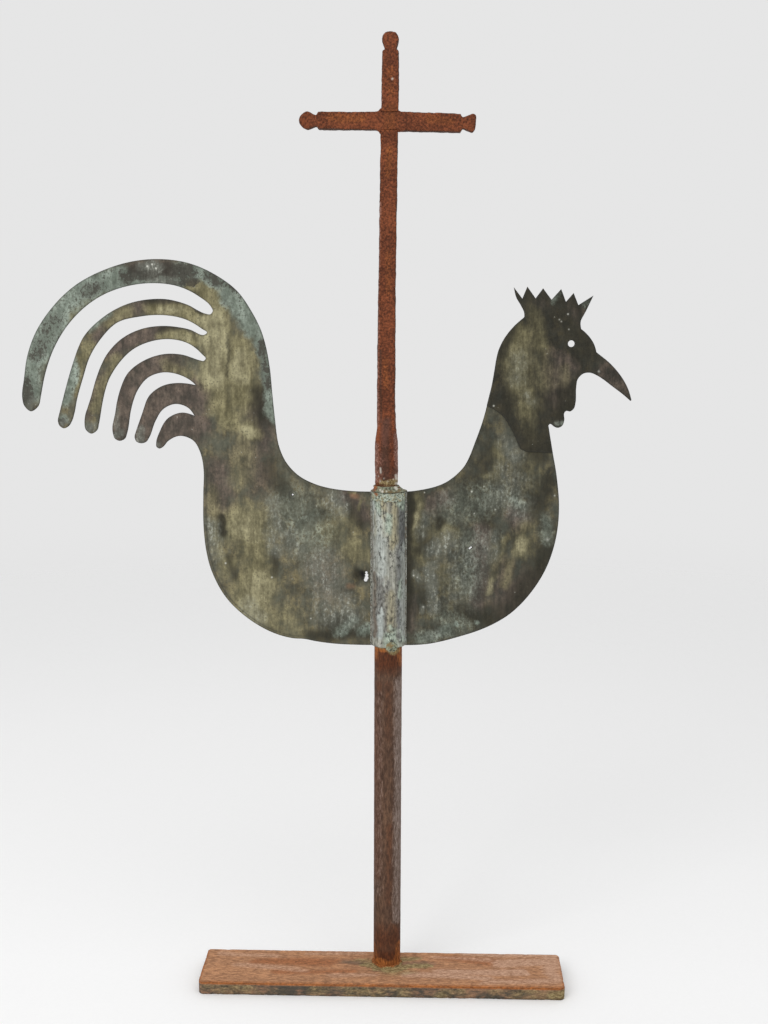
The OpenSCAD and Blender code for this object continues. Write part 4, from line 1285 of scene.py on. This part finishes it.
def plate_fields(mesh, points):
    """Pale wear in long streaks on top, soot on the front face, orange on the edges, crust at the post"""
    x, y, z = points[:, 0] / MM, points[:, 1] / MM, points[:, 2] / MM
    low, high = plate_low / MM, plate_high / MM
    top = smooth_step(z, high.z - 1.4, high.z - 0.3)
    across = y + 5 * noise_at(points, 30 * MM, 86, 3, (4, 1, 1))
    along = x + 14 * noise_at(points, 40 * MM, 87, 3)
    near_x = x + 5 * noise_at(points, 9 * MM, 89, 3)
    near_y = y + 3 * noise_at(points, 9 * MM, 90, 3)
    edge = inset(x, y, low, high)
    rim = smooth_step(z, high.z - 4.5, high.z - 2.0) * (1 - top)
    face = smooth_step(z, high.z - 2.6, high.z - 4.6) * (1 - top)
    worn_edge = top * smooth_step(edge, 4, 0.5)
    smoke = face * (1.05 + 0.35 * noise_at(points, 18 * MM, 88, 3))
    lichen = face * (0.30 + 0.6 * noise_at(points, 26 * MM, 92, 3))
    red = top * painted(PLATE_RUST["red"], along, across)
    stain = top * painted(PLATE_RUST["stain"], near_x, near_y)
    halo = top * painted(PLATE_RUST["halo"], near_x, near_y)
    set_field(mesh, "grey", top * painted(PLATE_RUST["streaks"], along, across))
    set_field(mesh, "orange", np.maximum(np.maximum(0.75 * rim, 0.6 * worn_edge), red))
    set_field(mesh, "soot_and_shade", np.maximum(smoke, stain))
    set_field(mesh, "crust", np.maximum(lichen, halo))
    set_field(mesh, "glow", np.maximum(0.8 * rim, 0.35 * worn_edge))
    set_field(mesh, "speck", np.zeros(len(x)))


def plate():
    """The base plate: worn round at its edges, dented and lightly pitted, flat underneath"""
    mesh = remeshed("base_plate_iron", node_copy("base_plate"), 1.15 * MM, 1)
    points = coordinates(mesh)
    edge = inset(points[:, 0], points[:, 1], plate_low, plate_high) / MM
    bump = 0.16 * noise_at(points, 24 * MM, 81, 2) + 0.10 * noise_at(points, 5 * MM, 82, 3)
    nicks = np.clip(noise_at(points, 9 * MM, 83, 2) - 0.15, 0, None) * smooth_step(edge, 3, 0.5)
    points += normals(mesh) * ((bump - 1.3 * nicks) * MM)[:, None]
    points[points[:, 2] < 0.7 * MM, 2] = plate_low.z
    set_coordinates(mesh, points)
    plate_fields(mesh, points)
    worn = rust(
        "plate_rust", (0.27, 0.130, 0.066), (0.40, 0.205, 0.108), (0.50, 0.250, 0.125), 3.4, 85,
        stretch=(2.6, 1, 1), orange_rust=(0.36, 0.130, 0.050), soot_and_shade_colour=(0.066, 0.062, 0.050))
    new_piece("base_plate_iron", mesh, "stand", worn, "base_plate")


def hidden_pieces():
    """The bearings and the stop keep their CAD shape and get better materials"""
    bronze = bearing_bronze()
    black = rust("stop_iron", (0.03, 0.025, 0.022), (0.06, 0.045, 0.035), (0.10, 0.06, 0.035), 3.0, 91)
    given = {"thrust_washer": bronze, "lower_bush": bronze, "upper_bush": bronze, "shank_stop": black}
    for node, material in given.items():
        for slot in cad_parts[node].material_slots:
            slot.material = material


# ---- Stage, light and camera ----
def floor():
    """A pale round floor that fades into the background"""
    s = Shader("pale_floor", 0.2)
    mesh = bpy.data.meshes.new("floor")
    bm = bmesh.new()
    bmesh.ops.create_circle(bm, cap_ends=True, segments=96, radius=5.0)
    bm.to_mesh(mesh)
    bm.free()
    distance = s.tree.nodes.new("ShaderNodeVectorMath")
    distance.operation = "LENGTH"
    s.put(s.place, distance.inputs[0])
    weave = s.noise(3, 2.0, 0.5, seed=95)
    s.put(s.mix(weave, (0.850, 0.850, 0.850), (0.880, 0.880, 0.880)), s.surface.inputs["Base Color"])
    s.surface.inputs["Roughness"].default_value = 0.9
    s.put(s.step(distance.outputs["Value"], 3.2, 1.0), s.surface.inputs["Alpha"])
    ground = bpy.data.objects.new("floor", mesh)
    bpy.context.scene.collection.objects.link(ground)
    mesh.materials.append(s.material)
    ground.location.z = -0.0003


def soft_box(name, place, aim, size, power):
    """A square or oblong lamp that faces a point"""
    lamp = bpy.data.lights.new(name, "AREA")
    lamp.shape = "RECTANGLE"
    lamp.size, lamp.size_y = size
    lamp.energy = power
    lit = bpy.data.objects.new(name, lamp)
    lit.location = place
    lit.rotation_euler = (Vector(aim) - Vector(place)).to_track_quat("-Z", "Y").to_euler()
    bpy.context.scene.collection.objects.link(lit)


def lights():
    """Even studio light, with a soft key from the upper left"""
    world = bpy.data.worlds.new("studio")
    world.use_nodes = True
    background = world.node_tree.nodes["Background"]
    background.inputs["Color"].default_value = (0.79, 0.79, 0.79, 1)
    background.inputs["Strength"].default_value = 1.0
    bpy.context.scene.world = world
    soft_box("key", (-1.7, -2.4, 2.1), (0, 0, 0.5), (1.8, 1.8), 30)
    soft_box("top", (0.1, -0.9, 2.6), (0, -0.2, 0), (2.2, 2.2), 16)
    bpy.context.scene.view_settings.view_transform = "Standard"


def camera():
    """In front of the vane, a little above its middle, looking slightly down

    Its place, aim, roll and lens were worked out from the plate's corners and the post's width.
    """
    place = Vector((0.0398, -1.5565, 0.7740))
    forward = Vector((-0.0285, 0.9873, -0.1565)).normalized()
    roll = math.radians(0.209)
    level = forward.cross(Vector((0, 0, 1))).normalized()
    rise = level.cross(forward)
    right = level * math.cos(roll) + rise * math.sin(roll)
    up = rise * math.cos(roll) - level * math.sin(roll)
    data = bpy.data.cameras.new("camera")
    data.sensor_width = 36
    data.lens = 51.76
    eye = bpy.data.objects.new("camera", data)
    turned = Matrix((right, up, -forward)).transposed().to_4x4()
    eye.matrix_world = Matrix.Translation(place) @ turned
    bpy.context.scene.collection.objects.link(eye)
    bpy.context.scene.camera = eye


camera()
lights()
floor()
plate()
foot()
post()
forged_cross()
sleeve_channels()
solder_pieces()
storm_collar()
copper_skins()
hidden_pieces()
